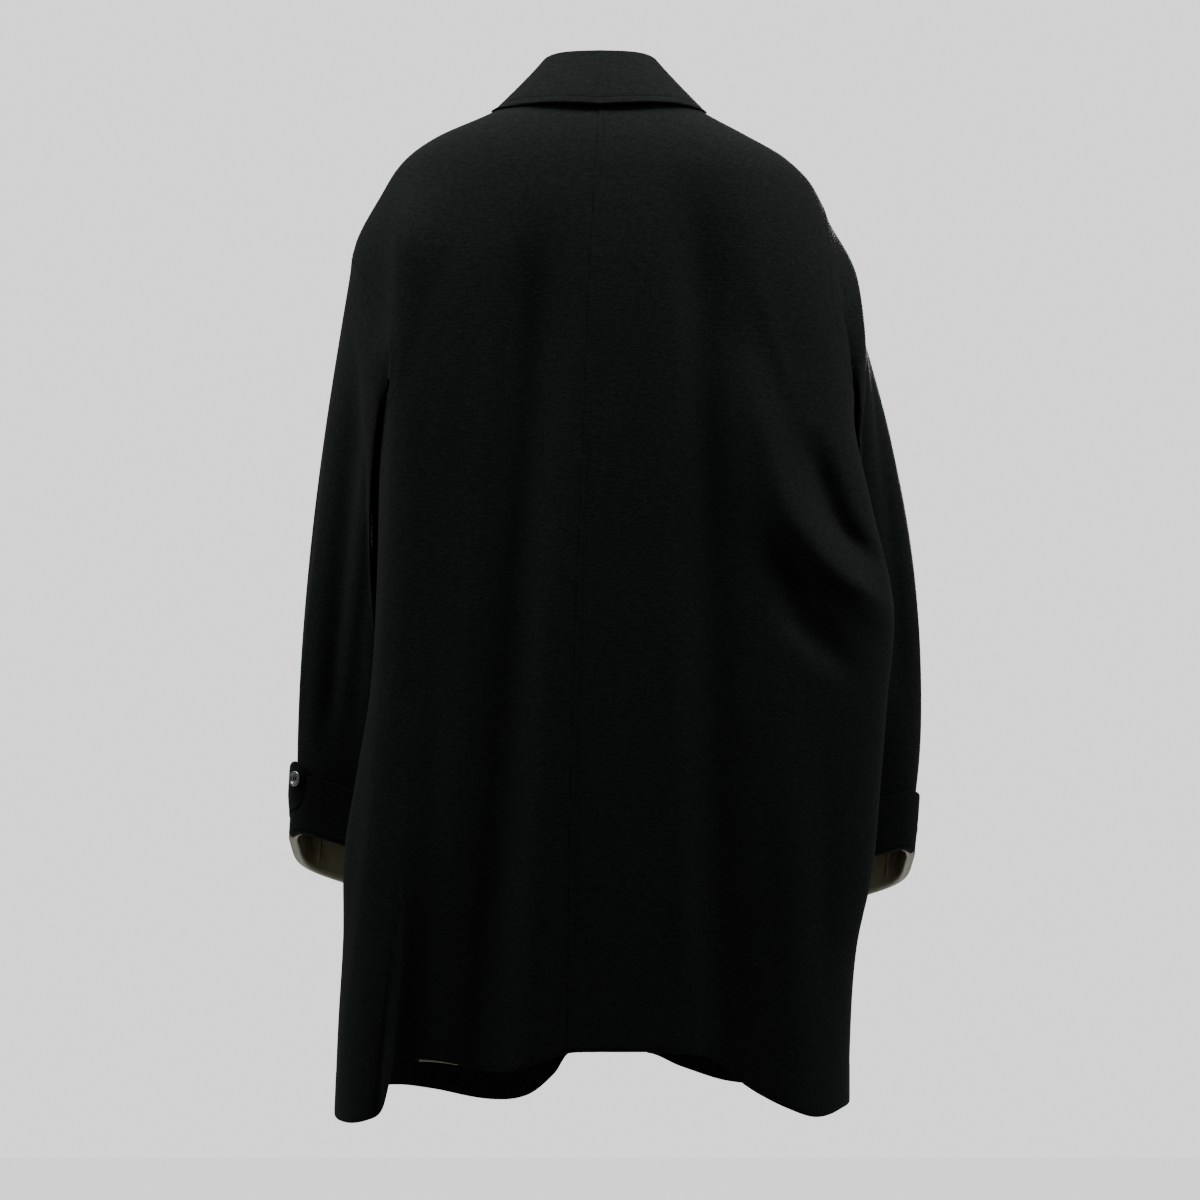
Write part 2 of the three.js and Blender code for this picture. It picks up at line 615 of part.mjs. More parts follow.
// The grids of a whole sleeve, from the armhole seam to the cuff, all the way round.
function sleeveGrids(side) {
  const sleeve = SLEEVE[side];
  const columns = [...Array(SLEEVE_COLUMNS).keys()];
  const starts = columns.map((column) => sleeveStart(side, column));
  const outer = [];
  for (let i = 0; i <= SLEEVE_START_ROWS; i += 1) {
    const distance = (SLEEVE_START * i) / SLEEVE_START_ROWS;
    outer.push(starts.map((start) => {
      const radius = SLEEVE_START / start.bend;
      const point = start.point.clone()
        .addScaledVector(start.away, SEAM_GAP + radius * Math.sin(distance / radius))
        .addScaledVector(start.normal, radius * (1 - Math.cos(distance / radius)));
      return i === 0 ? point : keepClear(side, point, SEAM_GAP * i);
    }));
  }
  const first = outer[SLEEVE_START_ROWS];
  for (let i = 1; i <= SLEEVE_ROWS; i += 1) {
    const t = i / SLEEVE_ROWS;
    const forward = 1 - (1 - t) ** sleeve.forward;
    const filled = sleeve.backFull * smooth(t / BACK_FULL.from) * (1 - smooth(t / BACK_FULL.to));
    outer.push(starts.map((start, j) => {
      const angle = (2 * Math.PI * j) / SLEEVE_COLUMNS;
      const bow = 4 * t * (1 - t);
      const low = t ** SLEEVE_BOW_LOW;
      const sideBow = Math.cos(angle) >= 0 ? sleeve.bowOut * 4 * low * (1 - low) : sleeve.bowIn * bow;
      const fold = sleeveFoldHeight(side, j, t);
      const nearBack = Math.exp(-(((radToDeg(angle) - BACK_FULL.at) / BACK_FULL.spread) ** 2));
      const point = first[j].clone().lerp(start.ring, t);
      point.y = lerp(first[j].y, start.ring.y, forward);
      point.x += side * (Math.cos(angle) * (sideBow + fold) + filled * nearBack);
      point.y += Math.sin(angle) * (sleeve.bowBack * bow + fold);
      const fromTop = Math.abs(radToDeg(Math.atan2(Math.sin(angle), Math.cos(angle))));
      const clear = SLEEVE_CLEAR.under
        + SLEEVE_CLEAR.upper * smooth((SLEEVE_CLEAR.edge - fromTop) / SLEEVE_CLEAR.blend);
      return keepClear(side, point, clear * smooth(t / SLEEVE_CLEAR.from));
    }));
  }
  for (let i = 1; i <= SLEEVE_END_ROWS; i += 1) {
    const up = SLEEVE_END * (1 - i / SLEEVE_END_ROWS);
    outer.push(columns.map((column) => sleeveRingPoint(side, column, 0, up)));
  }
  const last = outer.length - 1;
  const inner = outer.map((row, i) => row.map((point, j) => {
    if (i === 0) return point.clone().addScaledVector(starts[j].normal, -CLOTH);
    const next = row[(j + 1) % SLEEVE_COLUMNS];
    const previous = row[(j + SLEEVE_COLUMNS - 1) % SLEEVE_COLUMNS];
    const round = next.clone().sub(previous);
    const down = outer[Math.min(i + 1, last)][j].clone().sub(outer[i - 1][j]);
    const normal = round.cross(down).normalize().multiplyScalar(-side);
    return point.clone().addScaledVector(normal, -CLOTH);
  }));
  return { outer, inner };
}

// The columns of a ring from one to another, as an open strip.
function columnsOf(grid, from, to) {
  return grid.map((row) => {
    const part = [];
    for (let j = from; j <= to; j += 1) {
      part.push(row[(j + row.length) % row.length].clone());
    }
    return part;
  });
}

function sleevePiece(name, grids, from, to) {
  const outer = columnsOf(grids.outer, from, to);
  const inner = columnsOf(grids.inner, from, to);
  for (const grid of [outer, inner]) {
    trim(grid, 'first');
    trim(grid, 'last');
  }
  return piece(name, wallGeometry(outer, inner), WOOL_SLEEVE);
}

// A grid of points on the end of a sleeve, wrapped round it at a distance out from its cloth.
function sleeveEndGrid(side, columns, ups, grow) {
  return ups.map((up) => columns.map((column) => sleeveRingPoint(side, column, grow, up)));
}

function evenSteps(from, to, count) {
  return [...Array(count + 1).keys()].map((i) => lerp(from, to, i / count));
}

const ringColumns = [...Array(SLEEVE_COLUMNS).keys()];

function cuff(name, side) {
  const ups = evenSteps(0, CUFF.height, CUFF.rows);
  const outer = sleeveEndGrid(side, ringColumns, ups, CUFF.lift + CUFF.wall);
  const inner = sleeveEndGrid(side, ringColumns, ups, CUFF.lift);
  return piece(name, wallGeometry(outer, inner, true), WOOL_SLEEVE);
}

function cuffLining(name, side) {
  const ups = evenSteps(CUFF_LINING.from, CUFF_LINING.to, CUFF_LINING.rows);
  const face = -CLOTH - CUFF_LINING.gap;
  const outer = sleeveEndGrid(side, ringColumns, ups, face);
  const inner = sleeveEndGrid(side, ringColumns, ups, face - CUFF_LINING.wall);
  return piece(name, wallGeometry(outer, inner, true), OLIVE_LINING);
}

// The tab lies on the cuff and ends in a rounded corner; its rows draw together there.
function cuffTab(name, side) {
  const tab = CUFF_TAB;
  const end = CUFF_TAB_END[side];
  const face = CUFF.lift + CUFF.wall + tab.lift;
  const columns = evenSteps(end - tab.length, end, tab.columns);
  const grids = [face + tab.wall, face].map((grow) => evenSteps(-1, 1, tab.rows).map((across) => (
    columns.map((column) => {
      const past = Math.max(0, (column - end + tab.round) / tab.round);
      const halfWidth = tab.halfWidth * (1 - 0.55 * past ** 3);
      return sleeveRingPoint(side, column, grow, tab.middle + across * halfWidth);
    }))));
  return piece(name, wallGeometry(grids[0], grids[1]), WOOL_SLEEVE);
}

function buttonGeometry(size) {
  const { radius, thick } = size;
  const profile = [
    [0, 0], [radius * 0.8, 0], [radius, thick * 0.4], [radius, thick * 0.75],
    [radius * 0.9, thick], [radius * 0.72, thick * 0.9], [radius * 0.6, thick * 0.6], [0, thick * 0.6],
  ].map(([r, h]) => new THREE.Vector2(r, h));
  return new THREE.LatheGeometry(profile, BUTTON_SEGMENTS);
}

// A button laid flat on a surface, its axis along the surface's normal.
function button(name, size, point, normal) {
  const mesh = piece(name, buttonGeometry(size), DARK_HORN);
  mesh.position.copy(point).addScaledVector(normal, BUTTON_LIFT);
  mesh.quaternion.setFromUnitVectors(new THREE.Vector3(0, 1, 0), normal);
  return mesh;
}

function cuffButton(name, side) {
  const column = CUFF_TAB_END[side] - CUFF_TAB.buttonFromEnd;
  const up = CUFF_TAB.middle + CUFF_TAB.buttonUp;
  const grow = CUFF.lift + CUFF.wall + CUFF_TAB.lift + CUFF_TAB.wall;
  const spot = (dColumn, dUp) => sleeveRingPoint(side, column + dColumn, grow, up + dUp);
  const round = spot(0.2, 0).sub(spot(-0.2, 0));
  const normal = round.cross(spot(0, 1).sub(spot(0, -1))).normalize().multiplyScalar(side);
  return button(name, CUFF_BUTTON, spot(0, 0), normal);
}

// The buttons sit on the wearer's right front, set in from its edge.
function frontButton(name, z) {
  let turn = frontEdgeTurn(RIGHT, z);
  const edge = bodyPoint(RIGHT, turn, z);
  while (bodyPoint(RIGHT, turn, z).distanceTo(edge) < FRONT_BUTTON_INSET) turn += 0.25;
  return button(name, FRONT_BUTTON, bodyPoint(RIGHT, turn, z), bodyNormal(RIGHT, turn, z));
}

// The places round the neck seam, from the left front end by the back to the right one.
function collarTurns(side) {
  const end = neckLine(PANEL_END_TURN);
  const front = evenSteps(0, FRONT_COLUMNS, FRONT_COLUMNS).map((column) => frontTurn(side, column, end));
  return [...front, ...evenSteps(0, 90, COLLAR.backColumns).slice(1)].map((turn) => ({ side, turn }));
}

const collarPlaces = [...collarTurns(LEFT), ...collarTurns(RIGHT).reverse().slice(1)].map((place) => {
  const { side, turn } = place;
  const seam = bodyPoint(side, turn, neckLine(turn));
  const out = bodyNormal(side, turn, seam.z).setZ(0).normalize();
  const shape = {};
  for (const column of Object.keys(collarShape)) shape[column] = collarShape[column](turn);
  return { side, seam, out, ...shape };
});

function collarPoint(place, out, up) {
  return place.seam.clone().addScaledVector(place.out, out).setZ(place.seam.z + up);
}

function collarStand(name) {
  const grids = [0, -COLLAR.wall].map((thick) => (
    evenSteps(0, 1, COLLAR.standRows).map((t) => collarPlaces.map((place) => (
      collarPoint(place, thick - place.lean * t, lerp(COLLAR.lift, place.stand - COLLAR.lift, t)))))));
  return piece(name, wallGeometry(grids[0], grids[1]), WOOL);
}

// The fall starts over the top of the stand, rolls outwards and runs straight to its edge.
function collarFall(name) {
  const { wall, lift, clear } = COLLAR;
  const crown = (place) => [
    { outer: [-place.lean - wall, place.stand + wall], inner: [-place.lean - wall, place.stand] },
    { outer: [-place.lean + wall * 0.7, place.stand + wall * 0.9], inner: [-place.lean, place.stand] },
    {
      outer: [-place.lean + wall * 1.6, place.stand],
      inner: [-place.lean + lift, place.stand - wall * 0.4],
    },
  ];
  const outer = [];
  const inner = [];
  for (let i = 0; i < 3; i += 1) {
    outer.push(collarPlaces.map((place) => collarPoint(place, ...crown(place)[i].outer)));
    inner.push(collarPlaces.map((place) => collarPoint(place, ...crown(place)[i].inner)));
  }
  for (const t of evenSteps(0, 1, COLLAR.fallRows).slice(1)) {
    outer.push(collarPlaces.map((place) => {
      const out = lerp(-place.lean + wall * 1.6, place.spread, t);
      const point = collarPoint(place, out, place.stand - place.fall * t);
      return keepClear(place.side, point, wall + clear);
    }));
    inner.push(collarPlaces.map((place) => {
      const out = lerp(-place.lean + lift, place.spread - wall, t);
      const point = collarPoint(place, out, place.stand - place.fall * t);
      return keepClear(place.side, point, clear);
    }));
  }
  return piece(name, wallGeometry(outer, inner), WOOL);
}

function hemLining(name) {
  const strip = HEM_LINING;
  const turns = evenSteps(strip.fromTurn, strip.toTurn, strip.columns);
  const grids = [CLOTH + strip.gap, CLOTH + strip.gap + strip.wall].map((depth) => (
    evenSteps(-strip.drop, strip.height, strip.rows).map((up) => turns.map((turn) => {
      const z = hemLine[LEFT](turn) + up;
      return bodyPoint(LEFT, turn, z).addScaledVector(bodyNormal(LEFT, turn, z), -depth);
    }))));
  return piece(name, wallGeometry(grids[0], grids[1]), OLIVE_LINING);
}

const coat = new THREE.Group();
const sideNames = { [LEFT]: 'left', [RIGHT]: 'right' };
for (const side of [LEFT, RIGHT]) {
  const word = sideNames[side];
  const grids = sleeveGrids(side);
  coat.add(
    bodyPanel(`back_${word}`, side, 1),
    bodyPanel(`front_${word}`, side, -1),
    sleevePiece(`sleeve_under_${word}`, grids, UNDER_SLEEVE_FROM, UNDER_SLEEVE_TO),
    sleevePiece(`sleeve_upper_${word}`, grids, UNDER_SLEEVE_TO - SLEEVE_COLUMNS, UNDER_SLEEVE_FROM),
    cuff(`cuff_${word}`, side),
    cuffTab(`cuff_tab_${word}`, side),
    cuffButton(`cuff_button_${word}`, side),
    cuffLining(`cuff_lining_${word}`, side),
  );
}
FRONT_BUTTON_LEVELS.forEach((z, i) => coat.add(frontButton(`front_button_${i + 1}`, z)));
coat.add(collarStand('collar_stand'), collarFall('collar_fall'), hemLining('hem_lining_left'));

export default coat;
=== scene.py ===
import math

import bpy
import numpy as np
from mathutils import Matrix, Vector


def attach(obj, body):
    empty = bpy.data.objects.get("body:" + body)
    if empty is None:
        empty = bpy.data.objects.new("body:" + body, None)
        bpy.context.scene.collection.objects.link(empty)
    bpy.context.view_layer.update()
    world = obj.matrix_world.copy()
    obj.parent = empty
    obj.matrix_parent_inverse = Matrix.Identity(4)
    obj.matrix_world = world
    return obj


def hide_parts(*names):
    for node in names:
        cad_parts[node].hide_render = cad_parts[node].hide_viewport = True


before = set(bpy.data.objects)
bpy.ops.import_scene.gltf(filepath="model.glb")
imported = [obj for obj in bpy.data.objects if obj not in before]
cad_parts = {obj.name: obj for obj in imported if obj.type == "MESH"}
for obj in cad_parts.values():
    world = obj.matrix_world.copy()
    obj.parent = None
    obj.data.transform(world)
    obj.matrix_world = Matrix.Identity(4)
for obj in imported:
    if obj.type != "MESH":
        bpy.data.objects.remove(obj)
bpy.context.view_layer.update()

bl_info = {
    "name": "Wool coat",
    "version": (1, 0, 0),
    "blender": (4, 5, 0),
    "location": "3D View > Sidebar > Coat",
    "description": "Dresses the solids of a filled-out wool coat: panels, sleeves, cuffs, collar, buttons",
    "category": "Object",
}

MM = 0.001
BODY = "root"
LEFT, RIGHT = 1, -1
SIDE_WORD = {LEFT: "left", RIGHT: "right"}
SIDES = (LEFT, RIGHT)

# The tables below are in millimetres and degrees. Left is the wearer's left, at +X.

# Depth of the body behind and in front of the shoulder seams: level, back, front
BODY_DEPTH = (
    (40, 30, 30), (17, 55, 50), (0, 72, 66), (-20, 90, 82), (-40, 103, 94), (-62, 113, 104),
    (-92, 121, 113), (-157, 130, 124), (-220, 134, 128), (-300, 136, 131), (-385, 138, 133),
    (-480, 140, 135), (-600, 143, 138), (-680, 145, 140), (-760, 147, 142), (-840, 149, 144),
    (-920, 150, 145), (-1015, 151, 146),
)
# Half of each side of the body: level, half width, squareness, tuck beside the sleeve
BODY_SIDES = {
    LEFT: (
        (40, 42, 2.2, 0), (17, 68, 2.3, 0), (0, 94, 2.4, 0), (-20, 131, 2.5, 0), (-40, 173, 2.6, 0),
        (-62, 201, 2.7, 0), (-92, 220, 2.8, 0), (-157, 250, 2.9, 0), (-220, 246, 3.0, 10),
        (-300, 238, 3.2, 34), (-385, 236, 3.2, 62), (-480, 238, 3.2, 78), (-600, 246, 3.1, 86),
        (-680, 264, 3.0, 98), (-760, 280, 2.9, 102), (-840, 275, 2.8, 76), (-920, 269, 2.8, 40),
        (-1015, 262, 2.8, 12),
    ),
    RIGHT: (
        (40, 42, 2.2, 0), (17, 68, 2.3, 0), (0, 93, 2.4, 0), (-20, 124, 2.5, 0), (-40, 158, 2.6, 0),
        (-62, 193, 2.7, 0), (-92, 219, 2.8, 0), (-157, 241, 2.9, 0), (-232, 254, 3.0, 6),
        (-300, 262, 3.0, 34), (-345, 268, 3.0, 62), (-420, 290, 3.0, 100), (-520, 316, 3.0, 128),
        (-615, 306, 3.0, 126), (-690, 298, 2.9, 120), (-775, 286, 2.8, 98), (-850, 262, 2.8, 56),
        (-940, 249, 2.8, 22), (-1015, 245, 2.8, 8),
    ),
}
# Where round the side the tuck lies, and its width behind and in front
TUCK = {LEFT: (-10, 20, 26), RIGHT: (-10, 16, 28)}
# Neck seam: place from the centre back (90) by the shoulder (0) to the front (-90), and level
NECK_LINE = (
    (-90, -80), (-84, -74), (-76, -52), (-60, -16), (-36, 6), (0, 17), (45, 10), (90, 0),
)
# Hem: the same places, and level
HEM_LINE = {
    LEFT: (
        (-90, -948), (-83, -954), (-80, -974), (-74, -996), (-66, -1000), (-53, -989), (-40, -984),
        (-10, -990), (14, -1006), (32, -1014), (41, -1011), (45, -1001), (49, -957), (54, -955),
        (59, -957), (67, -965), (73, -965), (80, -954), (84, -949), (90, -948),
    ),
    RIGHT: (
        (-90, -950), (-78, -954), (-71, -967), (-59, -982), (-30, -988), (4, -993), (27, -1001),
        (41, -1009), (51, -998), (59, -980), (66, -955), (74, -949), (90, -948),
    ),
}
# Front edges: level, half the gap between the fronts
FRONT_EDGE = {
    LEFT: ((-1000, 29), (-500, 20), (-78, 12)),
    RIGHT: ((-1000, 50), (-500, 34), (-78, 16)),
}
# Armhole: top level, lowest level, reach to the back, reach to the front
ARMHOLE = {LEFT: (-157, -385, 44, 46), RIGHT: (-96, -345, 32, 46)}
ARMHOLE_STEPS = 10
PULL_COLUMNS, PULL_ROWS = 1.6, 3.0
PANEL_END_TURN = -84

# Folds of the body: side, face (1 back, -1 front), rise, inner width, outer width, height,
# the crest or trough as (level, x) pairs, and where it ends as (level, fall) or None
FOLDS = (
    (LEFT, 1, 160, 32, 22, -15, ((-110, 58), (-390, 76), (-610, 92), (-1000, 120)), None),
    (LEFT, 1, 260, 24, 22, 6, ((-300, 42), (-610, 52), (-1000, 72)), None),
    (LEFT, 1, 110, 34, 13, 13, ((-70, 194), (-300, 198), (-600, 211), (-760, 219), (-1000, 250)), None),
    (LEFT, 1, 240, 10, 44, 24, ((-690, 186), (-850, 198), (-1015, 214)), None),
    (RIGHT, 1, 150, 26, 34, -16, ((-70, 94), (-380, 110), (-1000, 116)), None),
    (RIGHT, 1, 260, 34, 34, 8, ((-480, 162), (-740, 172), (-1000, 190)), None),
    (RIGHT, 1, 120, 30, 24, 13, ((-240, 130), (-400, 164), (-470, 204), (-520, 262)), (-560, 60)),
    (RIGHT, 1, 70, 18, 16, -15, ((-340, 202), (-430, 226), (-480, 262)), (-500, 50)),
    (RIGHT, 1, 80, 18, 22, -10, ((-440, 172), (-540, 194), (-600, 240)), (-610, 70)),
    (LEFT, -1, 220, 26, 30, -10, ((-220, 118), (-600, 132), (-1000, 150)), None),
    (RIGHT, -1, 220, 28, 26, -9, ((-260, 126), (-640, 148), (-1000, 160)), None),
)
# Lesser folds, which only the dressed cloth has, in the same columns
FINE_FOLDS = (
    (LEFT, 1, 120, 9, 12, 2.2, ((-420, 118), (-600, 122), (-820, 134)), (-860, 120)),
    (LEFT, 1, 150, 12, 9, -2.0, ((-520, 158), (-700, 160), (-960, 172)), None),
    (LEFT, 1, 90, 14, 18, 1.8, ((-150, 130), (-260, 142), (-420, 150)), (-430, 120)),
    (LEFT, 1, 60, 8, 10, -1.6, ((-190, 168), (-260, 176), (-330, 184)), (-340, 70)),
    (LEFT, 1, 140, 16, 14, -1.5, ((-640, 24), (-800, 30), (-960, 34)), None),
    (RIGHT, 1, 130, 12, 15, 2.4, ((-430, 66), (-640, 70), (-900, 78)), (-930, 130)),
    (RIGHT, 1, 90, 10, 12, -2.0, ((-620, 142), (-760, 146), (-940, 150)), None),
    (RIGHT, 1, 70, 9, 9, 1.8, ((-170, 150), (-260, 168), (-330, 190)), (-350, 60)),
    (RIGHT, 1, 100, 14, 12, -2.2, ((-640, 214), (-760, 212), (-900, 214)), (-930, 110)),
    (RIGHT, 1, 50, 8, 9, -1.8, ((-520, 204), (-570, 226), (-600, 250)), (-600, 50)),
    (LEFT, -1, 140, 14, 18, 2.2, ((-180, 70), (-420, 78), (-760, 84)), (-800, 160)),
    (RIGHT, -1, 140, 16, 14, 2.0, ((-200, 84), (-460, 92), (-840, 96)), (-860, 180)),
    (LEFT, -1, 80, 10, 12, -2.0, ((-260, 168), (-400, 176), (-560, 180)), (-580, 120)),
    (RIGHT, -1, 80, 12, 10, -2.2, ((-240, 172), (-380, 184), (-540, 190)), (-560, 120)),
    (LEFT, -1, 200, 12, 16, -2.2, ((-640, 196), (-800, 200), (-980, 206)), None),
    (RIGHT, -1, 200, 14, 16, 2.4, ((-600, 186), (-780, 190), (-980, 196)), None),
)
FOLD_DEPTH_START = 40
# Steps across which a normal of the body is taken: turn and level
NORMAL_TURN, NORMAL_RISE = 0.4, 1.5
# Turns between which a front ends, and how often that range is halved to find the edge
FRONT_ENDS, FRONT_HALVINGS = (-90.0, -60.0), 24

# Sleeves: the ring at the cuff end (x, y, level, half widths), how its opening leans, how it
# slopes up the arm, how the sleeve bows out, back and in, its full back edge and its forward swing
SLEEVE = {
    LEFT: dict(x=259, y=-50, z=-762, hx=47, hy=60, lean_x=0.33, lean_y=0.28, slope_x=-0.05,
               slope_y=0.04, bow_out=12, bow_back=10, bow_in=3, full=11, forward=1.9),
    RIGHT: dict(x=264, y=-62, z=-776, hx=47, hy=60, lean_x=0.3, lean_y=0.28, slope_x=0.1,
                slope_y=0.04, bow_out=38, bow_back=10, bow_in=0, full=14, forward=2.9),
}
SLEEVE_SQUARE = 4.2
SLEEVE_BOW_LOW = 1.15
CLEAR_UNDER, CLEAR_UPPER, CLEAR_FROM, CLEAR_EDGE, CLEAR_BLEND = 6, 8, 0.1, 115, 45
FULL_AT, FULL_SPREAD, FULL_FROM, FULL_TO = 72, 26, 0.1, 0.9
SLEEVE_END = 62
SLEEVE_COLUMNS = 20
SLEEVE_START = 9.4
UNDER_FROM, UNDER_TO = 7, 13
# Folds down the sleeves: side, place round the arm in degrees, drift, from, to, spread, height
SLEEVE_FOLDS = (
    (LEFT, 62, 22, 0.1, 1.0, 16, -10), (LEFT, 96, 8, 0.2, 0.95, 18, 8),
    (LEFT, 330, -12, 0.25, 0.9, 20, -7), (RIGHT, 58, 10, 0.15, 0.9, 18, -7),
    (RIGHT, 318, -10, 0.2, 0.9, 20, -7),
    (LEFT, 20, 10, 0.3, 0.85, 9, -2.0), (LEFT, 38, -8, 0.5, 1.0, 8, 1.8),
    (LEFT, 350, 14, 0.1, 0.6, 10, 1.6), (RIGHT, 22, -12, 0.35, 0.95, 9, -2.2),
    (RIGHT, 350, 10, 0.15, 0.7, 10, 1.6), (RIGHT, 84, 6, 0.45, 0.95, 9, 2.0),
)

# Turn-up cuffs, tabs, linings and buttons
CUFF = dict(lift=0.9, wall=3.6, height=54)
TAB = dict(lift=0.3, wall=2.6, middle=43, half=23, length=5.4, round=1.4, button=0.75, up=5)
TAB_END = {LEFT: 3.6, RIGHT: -0.8}
LINING = dict(gap=0.3, wall=1.0, low=2.5, high=58)
CUFF_BUTTON = (7.6, 3.2)
FRONT_BUTTON = (11.5, 4.2)
FRONT_BUTTON_LEVELS = (-190, -330, -470, -610)
FRONT_BUTTON_INSET = 38
BUTTON_LIFT = 0.3

# Collar: place, stand, fall, spread, lean
COLLAR_SHAPE = (
    (-90, 12, 88, 20, 2), (-76, 15, 84, 26, 3), (-60, 18, 66, 34, 4), (-36, 15, 44, 42, 5),
    (0, 12, 32, 40, 5), (20, 18, 42, 40, 7), (45, 33, 58, 36, 9), (90, 43, 64, 24, 11),
)
COLLAR = dict(wall=2.6, lift=0.6, clear=2.4)
# How far the underside of a tab lies off the sleeve
TAB_FACE = CUFF["lift"] + CUFF["wall"] + TAB["lift"]
# Lining edge inside the back hem: from and to place, height, drop, wall, gap
HEM_LINING = (54, 72, 32, 3.2, 1.0, 1.2)
# The turn past which no button or buttonhole lies
FASTENING_END = -30


def smooth(value):
    t = np.clip(value, 0, 1)
    return t * t * (3 - 2 * t)


def lerp(a, b, t):
    return a + (b - a) * t


def curve(rows, column=1):
    """A smooth curve through one column of a table, by its first column."""
    rows = sorted(rows)
    at = np.array([row[0] for row in rows], float)
    value = np.array([row[column] for row in rows], float)
    low = np.maximum(np.arange(len(at)) - 1, 0)
    high = np.minimum(np.arange(len(at)) + 1, len(at) - 1)
    slope = (value[high] - value[low]) / (at[high] - at[low])

    def along(x):
        x = np.clip(x, at[0], at[-1])
        i = np.clip(np.searchsorted(at, x, side="left") - 1, 0, len(at) - 2)
        span = at[i + 1] - at[i]
        t = (x - at[i]) / span
        t2, t3 = t * t, t * t * t
        return ((2 * t3 - 3 * t2 + 1) * value[i] + (t3 - 2 * t2 + t) * span * slope[i]
                + (3 * t2 - 2 * t3) * value[i + 1] + (t3 - t2) * span * slope[i + 1])

    return along


BACK_DEPTH, FRONT_DEPTH = curve(BODY_DEPTH, 1), curve(BODY_DEPTH, 2)
HALF = {side: curve(BODY_SIDES[side], 1) for side in SIDES}
SQUARE = {side: curve(BODY_SIDES[side], 2) for side in SIDES}
TUCKED = {side: curve(BODY_SIDES[side], 3) for side in SIDES}
NECK = curve(NECK_LINE)
HEM = {side: curve(HEM_LINE[side]) for side in SIDES}
EDGE = {side: curve(FRONT_EDGE[side]) for side in SIDES}
FOLD_PATHS = [curve(fold[6]) for fold in FOLDS]
FINE_PATHS = [curve(fold[6]) for fold in FINE_FOLDS]
COLLAR_CURVES = [curve(COLLAR_SHAPE, column) for column in (1, 2, 3, 4)]


def fold_height(side, x, y, z, fine):
    """How far the folds move the cloth out at points of the body."""
    height = np.zeros(np.broadcast(x, y, z).shape)
    sets = [(FOLDS, FOLD_PATHS, 1.0), (FINE_FOLDS, FINE_PATHS, fine)]
    for folds, paths, strength in sets:
        if not strength:
            continue
        for (fold_side, face, rise, inner, outer, out, path, end), across in zip(folds, paths):
            if fold_side != side:
                continue
            off = x - across(z)
            width = np.where(off < 0, inner, outer)
            grown = smooth((path[0][0] - z) / rise)
            ended = 1.0 if end is None else 1 - smooth((end[0] + end[1] - z) / end[1])
            shape = np.exp(-((off / width) ** 2)) * (np.sign(y) == face)
            height = height + strength * out * grown * ended * shape
    return height * smooth(np.abs(y) / FOLD_DEPTH_START)


def body_at(side, angle, z, fine=0.0):
    """Points of the body's outer surface at a level, in the direction of an angle."""
    angle, z = np.broadcast_arrays(np.asarray(angle, float), np.asarray(z, float))
    depth = np.where(angle >= 0, BACK_DEPTH(z), FRONT_DEPTH(z))
    square = SQUARE[side](z)
    cx = np.abs(np.cos(angle) / HALF[side](z)) ** square
    cy = np.abs(np.sin(angle) / depth) ** square
    middle, behind, before = TUCK[side]
    off = np.degrees(angle) - middle
    spread = np.where(off > 0, behind, before)
    radius = (cx + cy) ** (-1 / square) - TUCKED[side](z) * np.exp(-((off / spread) ** 2))
    x, y = radius * np.cos(angle), radius * np.sin(angle)
    out = fold_height(side, x, y, z, fine)
    return np.stack([side * x, y + np.sign(y) * out, z], -1)


def body_point(side, turn, z, fine=0.0):
    """The same by turn: 90 at the centre back, 0 at the side, -90 in front, and past 90 the other side."""
    turn, z = np.broadcast_arrays(np.asarray(turn, float), np.asarray(z, float))
    if (turn > 90).any():
        here = body_point(side, np.minimum(turn, 90), z, fine)
        past = body_point(-side, np.minimum(180 - turn, 90), z, fine)
        return np.where((turn > 90)[..., None], past, here)
    depth = np.where(turn >= 0, BACK_DEPTH(z), FRONT_DEPTH(z))
    w = np.radians(turn)
    return body_at(side, np.arctan2(depth * np.sin(w), HALF[side](z) * np.cos(w)), z, fine)


def unit(vectors):
    return vectors / np.maximum(np.linalg.norm(vectors, axis=-1, keepdims=True), 1e-9)


def facing(normals, way):
    """The normals, turned to the side that the way out points to."""
    return np.where((normals * way).sum(-1, keepdims=True) < 0, -normals, normals)


def body_normal(side, turn, z):
    across = body_point(side, turn + NORMAL_TURN, z) - body_point(side, turn - NORMAL_TURN, z)
    up = body_point(side, turn, z + NORMAL_RISE) - body_point(side, turn, z - NORMAL_RISE)
    return facing(unit(np.cross(across, up)), body_point(side, turn, z) * (1, 1, 0))


def keep_clear(side, points, clearance, fine=0.0):
    """Moves points out, level, until they are clear of the cloth of the body."""
    angle = np.arctan2(points[..., 1], side * points[..., 0])
    cloth = body_at(side, angle, points[..., 2], fine)
    least = np.hypot(cloth[..., 0], cloth[..., 1]) + clearance
    radius = np.hypot(points[..., 0], points[..., 1])
    grow = np.maximum(least / np.maximum(radius, 1e-6), 1)
    out = points.copy()
    out[..., 0] *= grow
    out[..., 1] *= grow
    return out


def hem_level(side, turn):
    return np.where(turn > 90, HEM[-side](180 - turn), HEM[side](turn))


def front_edge_turn(side, z):
    """The turn at which a front ends at each level."""
    z = np.asarray(z, float)
    low, high = (np.full(z.shape, turn) for turn in FRONT_ENDS)
    for _ in range(FRONT_HALVINGS):
        middle = (low + high) / 2
        inside = np.abs(body_point(side, middle, z)[..., 0]) < EDGE[side](z)
        low, high = np.where(inside, middle, low), np.where(inside, high, middle)
    return (low + high) / 2


